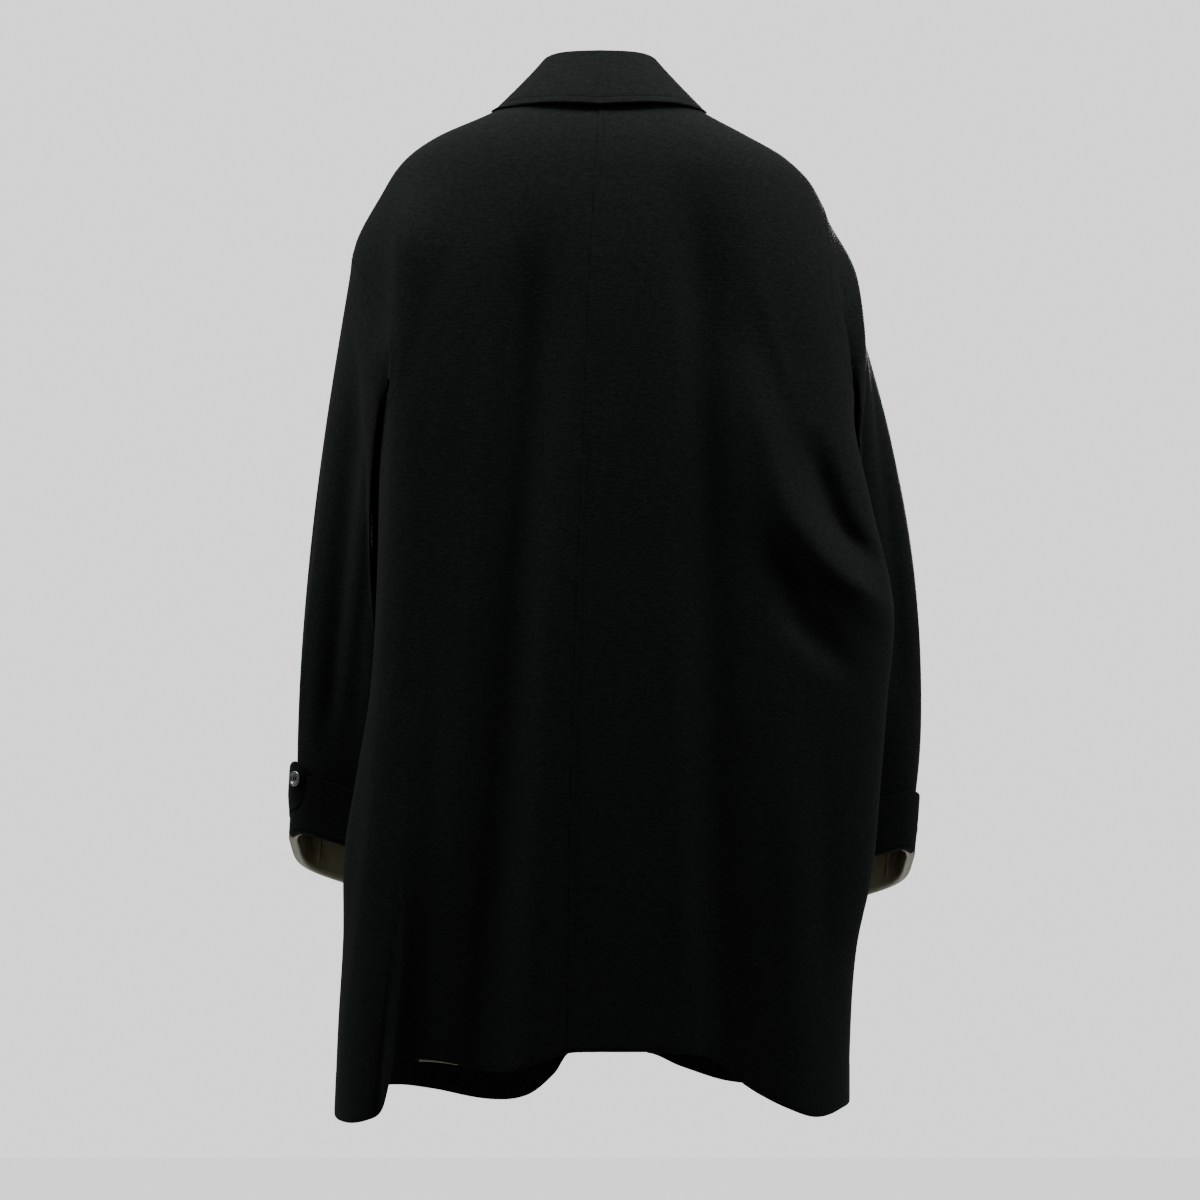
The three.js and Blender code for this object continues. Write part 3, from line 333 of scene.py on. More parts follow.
def armhole(side, step):
    """Level and turn of the armhole at steps round it, from its top by the back."""
    top, low, back, front = ARMHOLE[side]
    angle = np.pi * np.asarray(step, float) / ARMHOLE_STEPS
    reach = np.where(np.sin(angle) >= 0, back, front)
    return lerp(top, low, (1 - np.cos(angle)) / 2), reach * np.sin(angle)


# The centre-back seam wanders to the wearer's left on its way down: level, x
CENTRE_SEAM = ((0, 0), (-190, 9.5), (-340, 15), (-510, 22), (-660, 26.5), (-800, 29), (-945, 30))
SEAM_X = curve(CENTRE_SEAM)
# Distances in from an edge at which the cloth is rounded over
EDGE_STEPS = np.array([0.0, 0.2, 0.55, 1.1])
EDGE_ROUND, SEAM_ROUND = 1.1, 0.12
# Points along a dense row of the body, of a sleeve, of a tab and in from a front's edge
ROW_SAMPLES, SLEEVE_SAMPLES, TAB_SAMPLES, EDGE_SAMPLES = 121, 261, 161, 200
# A typical height of the yoke, by which its rows are spread
YOKE_HEIGHT = 80
YOKE_ROWS, ARMHOLE_ROWS, SKIRT_ROWS = 34, 66, 118
SKIRT_END = 990
BACK_COLUMNS, FRONT_COLUMNS = 104, 84
SLEEVE_ROWS, SLEEVE_LOW_ROWS = 110, 6
UPPER_COLUMNS, UNDER_COLUMNS = 110, 52
# The tongue of cloth that runs on under a sewn edge: reach, least reach, depth under the cloth,
# wall and sink
LAP_REACH, LAP_LEAST, LAP_DEPTH, LAP_WALL, LAP_SINK = 6.0, 0.05, 0.3, 0.8, 0.5
# How far into an armhole its raised band fades in, and how much of a rise shows on the inner face
HOLE_FADE, INNER_RISE = 4, 0.2
# The turned-up hem: rise, softness of its upper edge, fade at the fold, groove above the edge
HEM_RISE, HEM_SOFT, HEM_FADE, HEM_GROOVE_UP = 0.22, 2.5, 3, 1.5
# Grooves that sewing draws in the cloth: depth and half width
GROOVES = {
    "seam": (0.3, 0.7), "hem": (0.12, 1.6), "sleeve": (0.35, 1.4), "cuff": (0.25, 0.8),
    "tab": (0.3, 0.8), "collar": (0.35, 0.9),
}
# Pulls of the cloth beside its sewing: height, reach from the line, pitch along it, and seed
PULLS = {
    "centre seam": (0.12, 16, 9.0, 1.7), "front edge": (0.08, 14, 11.0, 2.9),
    "armhole": (0.14, 18, 8.0, 3.3), "side": (0.1, 14, 10.0, 0.7), "hem": (0.1, 26, 12.0, 5.1),
    "sleeve seam": (0.12, 14, 9.0, 1.3), "sleeve head": (0.22, 22, 6.5, 2.1),
    "tab": (0.12, 7, 3.1, 1.0), "collar edge": (0.1, 12, 5.3, 1.1),
}
# The waves that make up a pull: share, share of the pitch, share of the seed
PULL_WAVES = ((1.0, 1.0, 1.0), (0.6, 0.61, 2.3), (0.4, 1.73, 4.1))
# How gently a sleeve's folds start and end, and the roll of cloth where it leaves the armhole
SLEEVE_FOLD_FADE, LEAST_BEND, ROLL_STEPS = 0.2, 0.02, 5
HEAD_FADE = 4
# Folds of a sleeve with less height than this are among the lesser ones
FINE_BELOW = 3
# Waves round a cuff: height, pitch, share of the side; and how far from its edges they start
CUFF_WAVES, CUFF_WAVE_FADE = ((0.35, 1.9, 1), (0.25, 3.1, 2)), 20
# Where the cuff's outer face ends over its fold, and how many of its rows the inner face skips
CUFF_FACE_END, CUFF_INNER_SKIP = 1.5, 8
# A cuff: rows on its face, places round it, stitch line under its top, and the turn at its bottom
CUFF_ROWS, CUFF_ROUND, CUFF_STITCH = 44, 240, 8
CUFF_FOLD = ((4.2, 0.1), (3.2, -1.4), (0.5, -2.2), (-2.0, -1.6), (-3.2, 0.5), (-3.3, 2.2), (-2.45, 2.2),
             (-2.35, -0.2), (0.9, -0.2))
TAB_ROWS, TAB_COLUMNS, TAB_STITCH = 34, 60, 5.5
# The tab thins to this at its lower edge, over this height, where it melts into the cuff
TAB_THIN, TAB_MELT = 0.4, 20
# How much a tab narrows at its rounded end, how it swells inside its edge, and over what width
TAB_NARROWS, TAB_SWELL, TAB_SWELL_OVER, TAB_UNDER = 0.55, 0.25, 9, 0.3
# The lining's long seam round the arm, its rows and the height of its ripples
LINING_SEAM, LINING_ROWS, LINING_RIPPLE = 16.5, 20, 0.35
LINING_STEPS = np.array([0, 0.15, 0.4])
# The seam's depth and width, how far up the ripples start, and how far in they push the lining
LINING_SEAM_DEPTH, LINING_SEAM_WIDTH, LINING_RISE, LINING_SLACK = 1.2, 0.1, 12, 1.6
# The wrap under the cuff's edge: how far to the back it reaches, and how quickly it ends there
WRAP_REACH, WRAP_FALL = 1.15, 1.6
# How far in the lining lies from the cuff's turned-in edge, and how it wraps under that edge:
# place out from the arm of its outer and inner face, then the level of each
LINING_IN = 1.1
LINING_TURN = ((4.5, 5.0, 0.4, 0.2), (4.1, 4.6, -1.3, -1.9), (0.5, 0.4, -2.5, -3.1),
               (-2.2, -2.6, -2.1, -2.8), (-3.5, -4.1, 0.0, -0.8))
HEM_LINING_COLUMNS, HEM_LINING_ROWS = 70, 12
HEM_LINING_HIDDEN = (1.2, 5.0)
# Its ripples, how far in it lies and the rounding of its edges
HEM_LINING_RIPPLE, HEM_LINING_IN, HEM_LINING_ROUND = 0.5, 0.8, 0.4
# The collar's grids, its roll (drop under the top, radius, where it starts), wave and crown
COLLAR_PLACES, COLLAR_COLUMNS, STAND_ROWS, ROLL_ROWS, FALL_ROWS = 260, 380, 14, 14, 46
ROLL_DROP, ROLL_RADIUS, ROLL_START = 1.6, 4.2, 128
FALL_WAVE, FALL_CROWN, FALL_OUT = 0.5, 1.2, 3.5
# Buttons: rings, places round, size of the middle, spread and size of the holes
BUTTON_RINGS, BUTTON_ROUND, BUTTON_CORE = 34, 96, 0.004
HOLE_SPREAD, HOLE_SIZE, HOLE_DEPTH = 0.19, 0.12, 0.42
# The rim of a button, from its outer turn to the middle underneath: shares of radius and thickness
BUTTON_RIM = ((0.99, 0.78), (1.0, 0.66), (1.0, 0.4), (0.95, 0.18), (0.85, 0.03), (0.78, 0), (BUTTON_CORE, 0))
# Its threads: half thickness, arch, how far apart two of them lie, and how high in the button
CROSS_THREAD, CROSS_ARCH, CROSS_APART, CROSS_UP = 0.26, 0.35, 0.3, 0.6
# A buttonhole: from and to, in from the edge, and half its height
BUTTONHOLE = (16, 41, 1.6)
BUTTONHOLE_STEPS, BUTTONHOLE_ROUND = 72, 8
# Its worked edge: width, height, lift, ridges; and how square its ends and its sides are
WORKED_WIDTH, WORKED_HEIGHT, WORKED_LIFT, WORKED_RIDGE = 0.9, 0.6, 0.2, 0.16
BUTTONHOLE_ENDS, BUTTONHOLE_SIDES = 0.4, 0.8
# The studio, in metres and watts: floor, camera, and lights as name, place, aim, size and power
FLOOR_LEVEL, FLOOR_REACH, FLOOR_STEPS = -1.75, 14.0, 9
CAMERA_AT, CAMERA_AIM = (0, 3.0, -0.903), (0, 0, -0.5031)
CAMERA_LENS, CAMERA_SENSOR = 90.8, 36
SURROUND_STRENGTH = 1.5
LIGHTS = (
    ("key_left", (0.6, 0.42, 0.8), (0.05, 0.1, -0.2), 0.45, 235),
    ("key_right", (-0.56, 0.4, 0.8), (-0.05, 0.1, -0.25), 0.45, 235),
    ("side_left", (1.3, 0.3, 0.1), (0.2, 0, -0.35), 0.6, 130),
    ("side_right", (-1.3, 0.3, 0.1), (-0.2, 0, -0.35), 0.6, 130),
    ("front_key", (-0.3, -1.3, 0.0), (0, 0, -0.4), 0.9, 220),
)
# How far stitches lie over the cloth that they sink into, their arch, and where the first one starts
STITCH_SINK, STITCH_RISE, FIRST_STITCH = -0.15, 0.12, 1.0
# A length of thread: sides, and its rings as share of its length and of its thickness
THREAD_SIDES = 6
THREAD_RINGS = ((0.0, 0.45), (0.16, 1.0), (0.5, 1.1), (0.84, 1.0), (1.0, 0.45))
# A tab's stitches: lift over its face, places along it and across it
TAB_STITCH_LIFT, TAB_STITCH_PLACES, TAB_STITCH_ACROSS = 0.2, 40, 14


def sizes():
    return bpy.context.scene.coat_sizes


def colours():
    return bpy.context.scene.coat_colours


def make_mesh(name, points, quads, material):
    """An object of quads from points in millimetres."""
    mesh = bpy.data.meshes.new(name)
    quads = np.asarray(quads, np.int32)
    mesh.vertices.add(len(points))
    mesh.vertices.foreach_set("co", (np.asarray(points) * MM).astype(np.float32).ravel())
    mesh.loops.add(quads.size)
    mesh.loops.foreach_set("vertex_index", quads.ravel())
    mesh.polygons.add(len(quads))
    mesh.polygons.foreach_set("loop_start", np.arange(0, quads.size, 4, dtype=np.int32))
    mesh.polygons.foreach_set("use_smooth", np.full(len(quads), True))
    mesh.update(calc_edges=True)
    mesh.validate()
    mesh.materials.append(material)
    obj = bpy.data.objects.new(name, mesh)
    bpy.context.scene.collection.objects.link(obj)
    return obj


def place(obj, slot, *nodes):
    """Hangs a finished piece on the body and hides the parts of the model that it stands for; slot is not
    used.
    """
    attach(obj, BODY)
    if nodes:
        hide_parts(*nodes)


def dress(name, slot, shape):
    """Makes the piece that stands for a node, from its points and quads, in its slot's material."""
    material = {"wool": wool_material, "lining": lining_material, "button": button_material}[slot]()
    obj = make_mesh(f"coat_{name}", *shape, material)
    place(obj, slot, name)
    return obj


def grid_quads(rows, columns, ring, start=0, flip=False):
    """The quads of a grid of points; ring joins its last column to its first."""
    i = np.arange(rows - 1)[:, None]
    j = np.arange(columns if ring else columns - 1)[None, :]
    k = (j + 1) % columns
    quads = np.stack(np.broadcast_arrays(i * columns + j, i * columns + k,
                                         (i + 1) * columns + k, (i + 1) * columns + j), -1).reshape(-1, 4)
    return start + (quads[:, ::-1] if flip else quads)


def outward(points, quads):
    """The quads, turned so that they face out of the closed surface they make."""
    a, b, c, d = (points[quads[:, n]] for n in range(4))
    volume = (a * np.cross(b, c)).sum() + (a * np.cross(c, d)).sum()
    return quads if volume > 0 else quads[:, ::-1]


def tube(grid):
    """Points and quads of the surface of a grid of points that is closed both ways."""
    rows, columns = grid.shape[:2]
    i, j = np.arange(rows)[:, None], np.arange(columns)[None, :]
    a, b = (i + 1) % rows, (j + 1) % columns
    quads = np.stack(np.broadcast_arrays(i * columns + j, i * columns + b,
                                         a * columns + b, a * columns + j), -1).reshape(-1, 4)
    points = grid.reshape(-1, 3)
    return points, outward(points - points.mean(0), quads)


def wall(outer, inner, ring=False):
    """Points and quads of a closed wall between two grids of the same shape."""
    rows, columns = outer.shape[:2]
    count = rows * columns
    quads = [grid_quads(rows, columns, ring), grid_quads(rows, columns, ring, count, flip=True)]
    j = np.arange(columns if ring else columns - 1)
    k = (j + 1) % columns
    last = (rows - 1) * columns
    quads.append(np.stack([j + count, k + count, k, j], -1))
    quads.append(np.stack([last + j, last + k, last + k + count, last + j + count], -1))
    if not ring:
        i = np.arange(rows - 1) * columns
        quads.append(np.stack([i, i + columns, i + columns + count, i + count], -1))
        end = i + columns - 1
        quads.append(np.stack([end + count, end + columns + count, end + columns, end], -1))
    points = np.concatenate([outer.reshape(-1, 3), inner.reshape(-1, 3)])
    return points, outward(points, np.concatenate(quads))


def grid_normals(grid, way):
    """Normals of a grid of points, turned to the side that the way out points to."""
    return facing(unit(np.cross(np.gradient(grid, axis=1), np.gradient(grid, axis=0))), way)


def run_lengths(line):
    """Distance along a line of points, from its start to each of them."""
    return np.concatenate([[0], np.cumsum(np.linalg.norm(np.diff(line, axis=0), axis=1))])


def along_line(values, length, where):
    """Points or directions at distances along a line."""
    return np.stack([np.interp(where, length, values[:, n]) for n in range(3)], -1)


def wrapped(value, full):
    """A difference between two places round a ring, by the shorter way."""
    return (value + full / 2) % full - full / 2


def rounded(distance, radius):
    """How far a wall's faces draw in at a distance from its edge."""
    near = np.clip(radius - distance, 0, radius)
    return radius - np.sqrt(np.maximum(radius ** 2 - near ** 2, 0))


def edged(length, count, first=0.0, last=0.0, steps=EDGE_STEPS):
    """Distances along a line, close together at its two ends."""
    inner = np.linspace(first + steps[-1], length - last - steps[-1], count)
    return np.concatenate([first + steps[:-1], inner, (length - last - steps[:-1])[::-1]])


def cut_size(grid):
    """(width, length, area) in metres of the flat cut that a grid of points was made from."""
    across = np.linalg.norm(np.diff(grid, axis=1), axis=-1).sum(1)
    down = np.linalg.norm(np.diff(grid, axis=0), axis=-1).sum(0)
    a = grid[1:, 1:] - grid[:-1, :-1]
    b = grid[1:, :-1] - grid[:-1, 1:]
    area = 0.5 * np.linalg.norm(np.cross(a, b), axis=-1).sum()
    width, length = across.max() * MM, down[: len(down) // 2 + 1].max() * MM
    return round(width, 3), round(length, 3), round(min(area * MM * MM, width * length), 4)


def declare_sheet(obj, grid, ring=False):
    """Measures the flat cut of a piece of cloth along its own threads; nothing is done with the sizes."""
    if ring:
        grid = np.concatenate([grid, grid[:, :1]], 1)
    width, length, area = cut_size(grid)


def level_rows(side, face):
    """(level as a function of turn, end turn) of each row of a body panel, from neck to hem."""
    top, low = ARMHOLE[side][:2]
    rows = []
    for t in edged(YOKE_HEIGHT, YOKE_ROWS)[:-1 - len(EDGE_STEPS)] / YOKE_HEIGHT:
        rows.append((lambda turn, t=t: lerp(NECK(turn), top, t), 0.0))
    for step in np.linspace(0, ARMHOLE_STEPS, ARMHOLE_ROWS):
        z, end = armhole(side, face * step)
        even = lerp(top, low, step / ARMHOLE_STEPS)

        def level(turn, z=z, end=end, even=even):
            near = np.maximum(90 - np.abs(turn), 0) / (90 - abs(end))
            return lerp(even, z, near ** PULL_ROWS)

        rows.append((level, float(end)))
    skirt = SKIRT_END + low
    for t in edged(skirt, SKIRT_ROWS)[len(EDGE_STEPS):] / skirt:
        rows.append((lambda turn, t=t: lerp(low, hem_level(side, turn), t), 0.0))
    return rows


def panel_grid(side, face):
    """Points and outward normals of a body panel, and each point's distance along its row."""
    columns = BACK_COLUMNS if face > 0 else FRONT_COLUMNS
    gap = sizes().seam_gap / MM / 2
    fine = sizes().fine_folds
    dense = np.linspace(0, 1, ROW_SAMPLES)
    points, along = [], []
    rows = level_rows(side, face)
    if face > 0:
        levels = np.array([level(90.0) for level, _ in rows])
        starts = 90 - side * np.degrees(np.arctan2(SEAM_X(levels), HALF[LEFT](levels)))
    else:
        starts = front_edge_turn(side, np.array([level(float(PANEL_END_TURN)) for level, _ in rows]))
    for (level, end), start in zip(rows, starts):

        def turn_at(u):
            return lerp(start, 0, u) + end * u ** PULL_COLUMNS

        length = run_lengths(body_point(side, turn_at(dense), level(turn_at(dense)), fine))
        wanted = edged(length[-1], columns, gap if face > 0 else 0.0, gap)
        turn = turn_at(np.interp(wanted, length, dense))
        points.append(body_point(side, turn, level(turn), fine))
        along.append(wanted)
    points = np.array(points)
    return points, grid_normals(points, points * (1, 1, 0)), np.array(along)


def band(distance, width, soft=1.2):
    """1 on a strip beside an edge and 0 past it, with a soft shoulder."""
    return 1 - smooth((distance - width) / soft)


def groove(kind, distance, at):
    """Depth of the groove that sewing draws in the cloth at a distance from an edge."""
    depth, width = GROOVES[kind]
    return depth * np.exp(-(((distance - at) / width) ** 2))


def lapped(outer, inner, points, normals, edge, reach):
    """Adds a tongue to one edge of a wall, which runs on under the piece that it is sewn to."""
    cloth = sizes().cloth / MM
    e, beside = (0, 1) if edge == "first" else (-1, -2)
    ahead = unit(points[:, e] - points[:, beside])
    reach = np.broadcast_to(reach, len(points))[:, None]
    made = []
    for grid, depth in ((outer, LAP_DEPTH), (inner, LAP_DEPTH + LAP_WALL)):
        near = points[:, e] - normals[:, e] * (cloth + depth)
        far = near + ahead * reach - normals[:, e] * LAP_SINK
        extra = [near[:, None], far[:, None]]
        made.append(np.concatenate([*extra[::-1], grid] if edge == "first" else [grid, *extra], 1))
    return made


def edge_distances(points, along):
    """Distance of each grid point from the first and last column and from the first and last row."""
    down = np.concatenate([np.zeros((1, points.shape[1])),
                           np.cumsum(np.linalg.norm(np.diff(points, axis=0), axis=-1), axis=0)])
    return along - along[:, :1], along[:, -1:] - along, down, down[-1:] - down


def pulls(kind, distance, run, turn=1, shift=0):
    """Small uneven pulls of the cloth beside its sewing; turn and shift set like ones apart."""
    height, reach, pitch, seed = PULLS[kind]
    seed = seed * turn + shift
    wave = sum(share * np.sin(run / (pitch * longer) + later * seed) for share, longer, later in PULL_WAVES)
    return height * wave * np.exp(-((distance / reach) ** 2))


def shell(points, under, normals, height, inset):
    """The outer and inner grid of a wall whose faces draw in at its rounded edges."""
    return points + normals * (height - inset)[..., None], under + normals * inset[..., None]


def build_panel(side, face):
    """One body panel: a thin shell with its folds, a lapped seam's band and its rounded edges."""
    s = sizes()
    points, normals, along = panel_grid(side, face)
    first, last, top, bottom = edge_distances(points, along)
    cloth, lap, rise, stitch, edge_stitch, hem = (
        size / MM for size in (s.cloth, s.seam_band, s.seam_rise, s.stitch_inset, s.edge_stitch, s.hem_depth))
    height = np.zeros(first.shape)
    if face > 0 and side == RIGHT:
        height += rise * band(first, lap) - groove("seam", first, stitch)
    if face > 0:
        height += pulls("centre seam", first, top, side)
    else:
        height += pulls("front edge", first, top, side) - groove("seam", first, edge_stitch)
    hole_top, hole_low = ARMHOLE[side][:2]
    z = points[..., 2]
    in_hole = smooth((hole_top - z) / HOLE_FADE / 2 + 0.5) * smooth((z - hole_low) / HOLE_FADE / 2 + 0.5)
    height += in_hole * (rise * band(last, lap) - groove("seam", last, stitch)
                         + pulls("armhole", last, top, side))
    if face > 0:
        height += (1 - in_hole) * pulls("side", last, top)
    height += HEM_RISE * band(bottom, hem, HEM_SOFT) * smooth(bottom / HEM_FADE)
    height += pulls("hem", bottom, along, side) - groove("hem", bottom, hem + HEM_GROOVE_UP)
    free = bottom if face > 0 else np.minimum(first, bottom)
    sewn = np.minimum(first, last) if face > 0 else last
    inset = np.maximum(rounded(np.minimum(free, top), EDGE_ROUND), rounded(sewn, SEAM_ROUND))
    under = points + normals * (np.minimum(height, INNER_RISE) - cloth)[..., None]
    outer, inner = shell(points, under, normals, height, inset)
    if face > 0 and side == RIGHT:
        outer, inner = lapped(outer, inner, points, normals, "first", LAP_REACH)
    reach = LAP_REACH if face > 0 else LAP_LEAST + LAP_REACH * in_hole[:, -1]
    outer, inner = lapped(outer, inner, points, normals, "last", reach)
    name = f"{'back' if face > 0 else 'front'}_{SIDE_WORD[side]}"
    declare_sheet(dress(name, "wool", wall(outer, inner)), points)


def resampled(grid, columns, gap):
    """A dense grid resampled to columns that lie close together at its two seams."""
    points, along = [], []
    for line in grid:
        length = run_lengths(line)
        wanted = edged(length[-1], columns, gap, gap)
        points.append(along_line(line, length, wanted))
        along.append(wanted)
    return np.array(points), np.array(along)


def squared(value, power):
    """A sine or cosine, raised to a power with its sign kept, which squares off a round."""
    return np.sign(value) * np.abs(value) ** power


def ring_point(side, column, grow, up):
    """Points of the ring at the end of a sleeve; grow moves them out, up moves them up the arm."""
    s = SLEEVE[side]
    angle = 2 * np.pi * np.asarray(column, float) / SLEEVE_COLUMNS
    x = squared(np.cos(angle), 2 / SLEEVE_SQUARE) * (s["hx"] + grow)
    y = squared(np.sin(angle), 2 / SLEEVE_SQUARE) * (s["hy"] + grow)
    return np.stack(np.broadcast_arrays(side * (s["x"] + x + up * s["slope_x"]),
                                        s["y"] + y + up * s["slope_y"],
                                        s["z"] + x * s["lean_x"] + y * s["lean_y"] + up), -1)


def sleeve_fold_height(side, column, t, fine):
    height = 0.0
    at = 360 * column / SLEEVE_COLUMNS
    for fold_side, place_at, drift, start, stop, spread, out in SLEEVE_FOLDS:
        if fold_side != side:
            continue
        off = wrapped(at - place_at - drift * t, 360)
        run = smooth((t - start) / SLEEVE_FOLD_FADE) * (1 - smooth((t - stop) / SLEEVE_FOLD_FADE + 1))
        lesser = abs(out) < FINE_BELOW
        height = height + (fine if lesser else 1.0) * out * run * np.exp(-((off / spread) ** 2))
    return height


def sleeve_lines(side, column, fine):
    """The outer cloth of a sleeve from the armhole to its end, along each column."""
    s = SLEEVE[side]
    level, turn = armhole(side, column)
    before, after = armhole(side, column - 0.5), armhole(side, column + 0.5)
    point = body_point(side, turn, level, fine)
    normal = body_normal(side, turn, level)
    along = unit(body_point(side, after[1], after[0]) - body_point(side, before[1], before[0]))
    away = unit(np.cross(along, normal)) * side
    ring = ring_point(side, column, 0, SLEEVE_END)
    heading = ring - point
    heading -= along * (heading * along).sum(-1, keepdims=True)
    bend = np.maximum(np.arctan2((heading * normal).sum(-1), (heading * away).sum(-1)), LEAST_BEND)
    radius = SLEEVE_START / bend
    gap = sizes().seam_gap / MM
    lines = []
    for distance in np.concatenate([EDGE_STEPS, np.linspace(EDGE_STEPS[-1], SLEEVE_START, ROLL_STEPS)[1:]]):
        row = point + away * (gap + radius * np.sin(distance / radius))[:, None] \
            + normal * (radius * (1 - np.cos(distance / radius)))[:, None]
        lines.append(keep_clear(side, row, gap * 2 * distance / SLEEVE_START, fine) if distance else row)
    first = lines[-1]
    angle = 2 * np.pi * column / SLEEVE_COLUMNS
    from_top = np.abs(np.degrees(np.arctan2(np.sin(angle), np.cos(angle))))
    place_at = np.degrees(angle) % 360
    near_back = np.exp(-(((place_at - FULL_AT) / FULL_SPREAD) ** 2))
    clear = CLEAR_UNDER + CLEAR_UPPER * smooth((CLEAR_EDGE - from_top) / CLEAR_BLEND)
    for t in np.linspace(0, 1, SLEEVE_ROWS + 1)[1:]:
        forward = 1 - (1 - t) ** s["forward"]
        filled = s["full"] * smooth(t / FULL_FROM) * (1 - smooth(t / FULL_TO))
        bow, low = 4 * t * (1 - t), t ** SLEEVE_BOW_LOW
        side_bow = np.where(np.cos(angle) >= 0, s["bow_out"] * 4 * low * (1 - low), s["bow_in"] * bow)
        fold = sleeve_fold_height(side, column, t, fine)
        row = lerp(first, ring, t)
        row[:, 1] = lerp(first[:, 1], ring[:, 1], forward)
        row[:, 0] += side * (np.cos(angle) * (side_bow + fold) + filled * near_back)
        row[:, 1] += np.sin(angle) * (s["bow_back"] * bow + fold)
        lines.append(keep_clear(side, row, clear * smooth(t / CLEAR_FROM), fine))
    for up in np.linspace(SLEEVE_END, 0, SLEEVE_LOW_ROWS + 1)[1:]:
        lines.append(ring_point(side, column, 0, up))
    return np.array(lines)


def build_sleeve(side, word, start, stop, columns):
    """One cut piece of a sleeve, between two of its long seams."""
    s = sizes()
    dense = np.linspace(start, stop, SLEEVE_SAMPLES)
    points, along = resampled(sleeve_lines(side, dense, s.fine_folds), columns, s.seam_gap / MM / 2)
    normals = unit(np.cross(np.gradient(points, axis=1), np.gradient(points, axis=0))) * -side
    first, last, top, _ = edge_distances(points, along)
    seams = np.minimum(first, last)
    height = pulls("sleeve seam", seams, top, side, start) - groove("sleeve", seams, 0)
    height += pulls("sleeve head", top, along, side) * smooth(top / HEAD_FADE)
    inset = rounded(np.minimum(seams, top), SEAM_ROUND)
    outer, inner = shell(points, points - normals * (s.cloth / MM), normals, height, inset)
    if word == "upper":
        for edge in ("first", "last"):
            outer, inner = lapped(outer, inner, points, normals, edge, LAP_REACH)
    obj = dress(f"sleeve_{word}_{SIDE_WORD[side]}", "wool", wall(outer, inner))
    declare_sheet(obj, points)


def round_places():
    """Places round a cuff, in columns of the sleeve."""
    return np.linspace(0, SLEEVE_COLUMNS, CUFF_ROUND + 1)[:-1]


def build_cuff(side):
    """A cuff turned up outside the end of the sleeve, its fold at the bottom going round inside."""
    lift, thick, high = CUFF["lift"], CUFF["wall"], CUFF["height"]
    face = lift + thick
    outside = high - edged(high - CUFF_FACE_END, CUFF_ROWS)
    section = [(face, up) for up in outside] + list(CUFF_FOLD)
    section += [(lift, up) for up in outside[::-CUFF_INNER_SKIP]]
    column = round_places()
    grid = []
    for n, (grow, up) in enumerate(section):
        on_face = n < len(outside)
        drop = high - up
        wave = sum(rise * np.sin(column * pitch + share * side) for rise, pitch, share in CUFF_WAVES)
        worn = wave * smooth(drop / CUFF_WAVE_FADE) * smooth(up / CUFF_WAVE_FADE)
        worn = worn - rounded(drop, EDGE_ROUND) - groove("cuff", drop, CUFF_STITCH)
        grid.append(ring_point(side, column, grow + worn * on_face, up))
    grid = np.array(grid)
    obj = dress(f"cuff_{SIDE_WORD[side]}", "wool", tube(grid))
    half = grid[: len(outside) + len(CUFF_FOLD)]
    declare_sheet(obj, half, ring=True)


def tab_half_width(column, end):
    past = np.maximum(0, (column - end + TAB["round"]) / TAB["round"])
    return TAB["half"] * (1 - TAB_NARROWS * past ** 3)


def tab_point(side, column, across, grow):
    half = tab_half_width(column, TAB_END[side])
    return ring_point(side, column, grow, TAB["middle"] + across * half)


def build_tab(side):
    """The tab on a cuff, with a rounded end and a line of stitching inside its edge."""
    end = TAB_END[side]
    column = np.linspace(end - TAB["length"], end, TAB_SAMPLES)
    across = edged(2 * TAB["half"], TAB_ROWS) / TAB["half"] - 1
    (points, along), (under, _) = (
        resampled(np.array([tab_point(side, column, a, grow) for a in across]), TAB_COLUMNS, 0.0)
        for grow in (TAB_FACE + TAB["wall"], TAB_FACE))
    first, last, top, bottom = edge_distances(points, along)
    drawn = np.minimum(last, bottom)
    near = np.minimum(drawn, top)
    normals = unit(points - under)
    height = TAB_SWELL * smooth(near / TAB_SWELL_OVER) - groove("tab", drawn, TAB_STITCH)
    height += pulls("tab", near, along + top, side)
    height -= (TAB["wall"] - TAB_THIN) * (1 - smooth(top / TAB_MELT))
    inset = rounded(np.minimum(drawn, first), EDGE_ROUND)
    outer = points + normals * (height - inset)[..., None]
    inner = under + normals * np.minimum(inset, TAB_THIN)[..., None] * TAB_UNDER
    obj = dress(f"cuff_tab_{SIDE_WORD[side]}", "wool", wall(outer, inner))
    declare_sheet(obj, points)


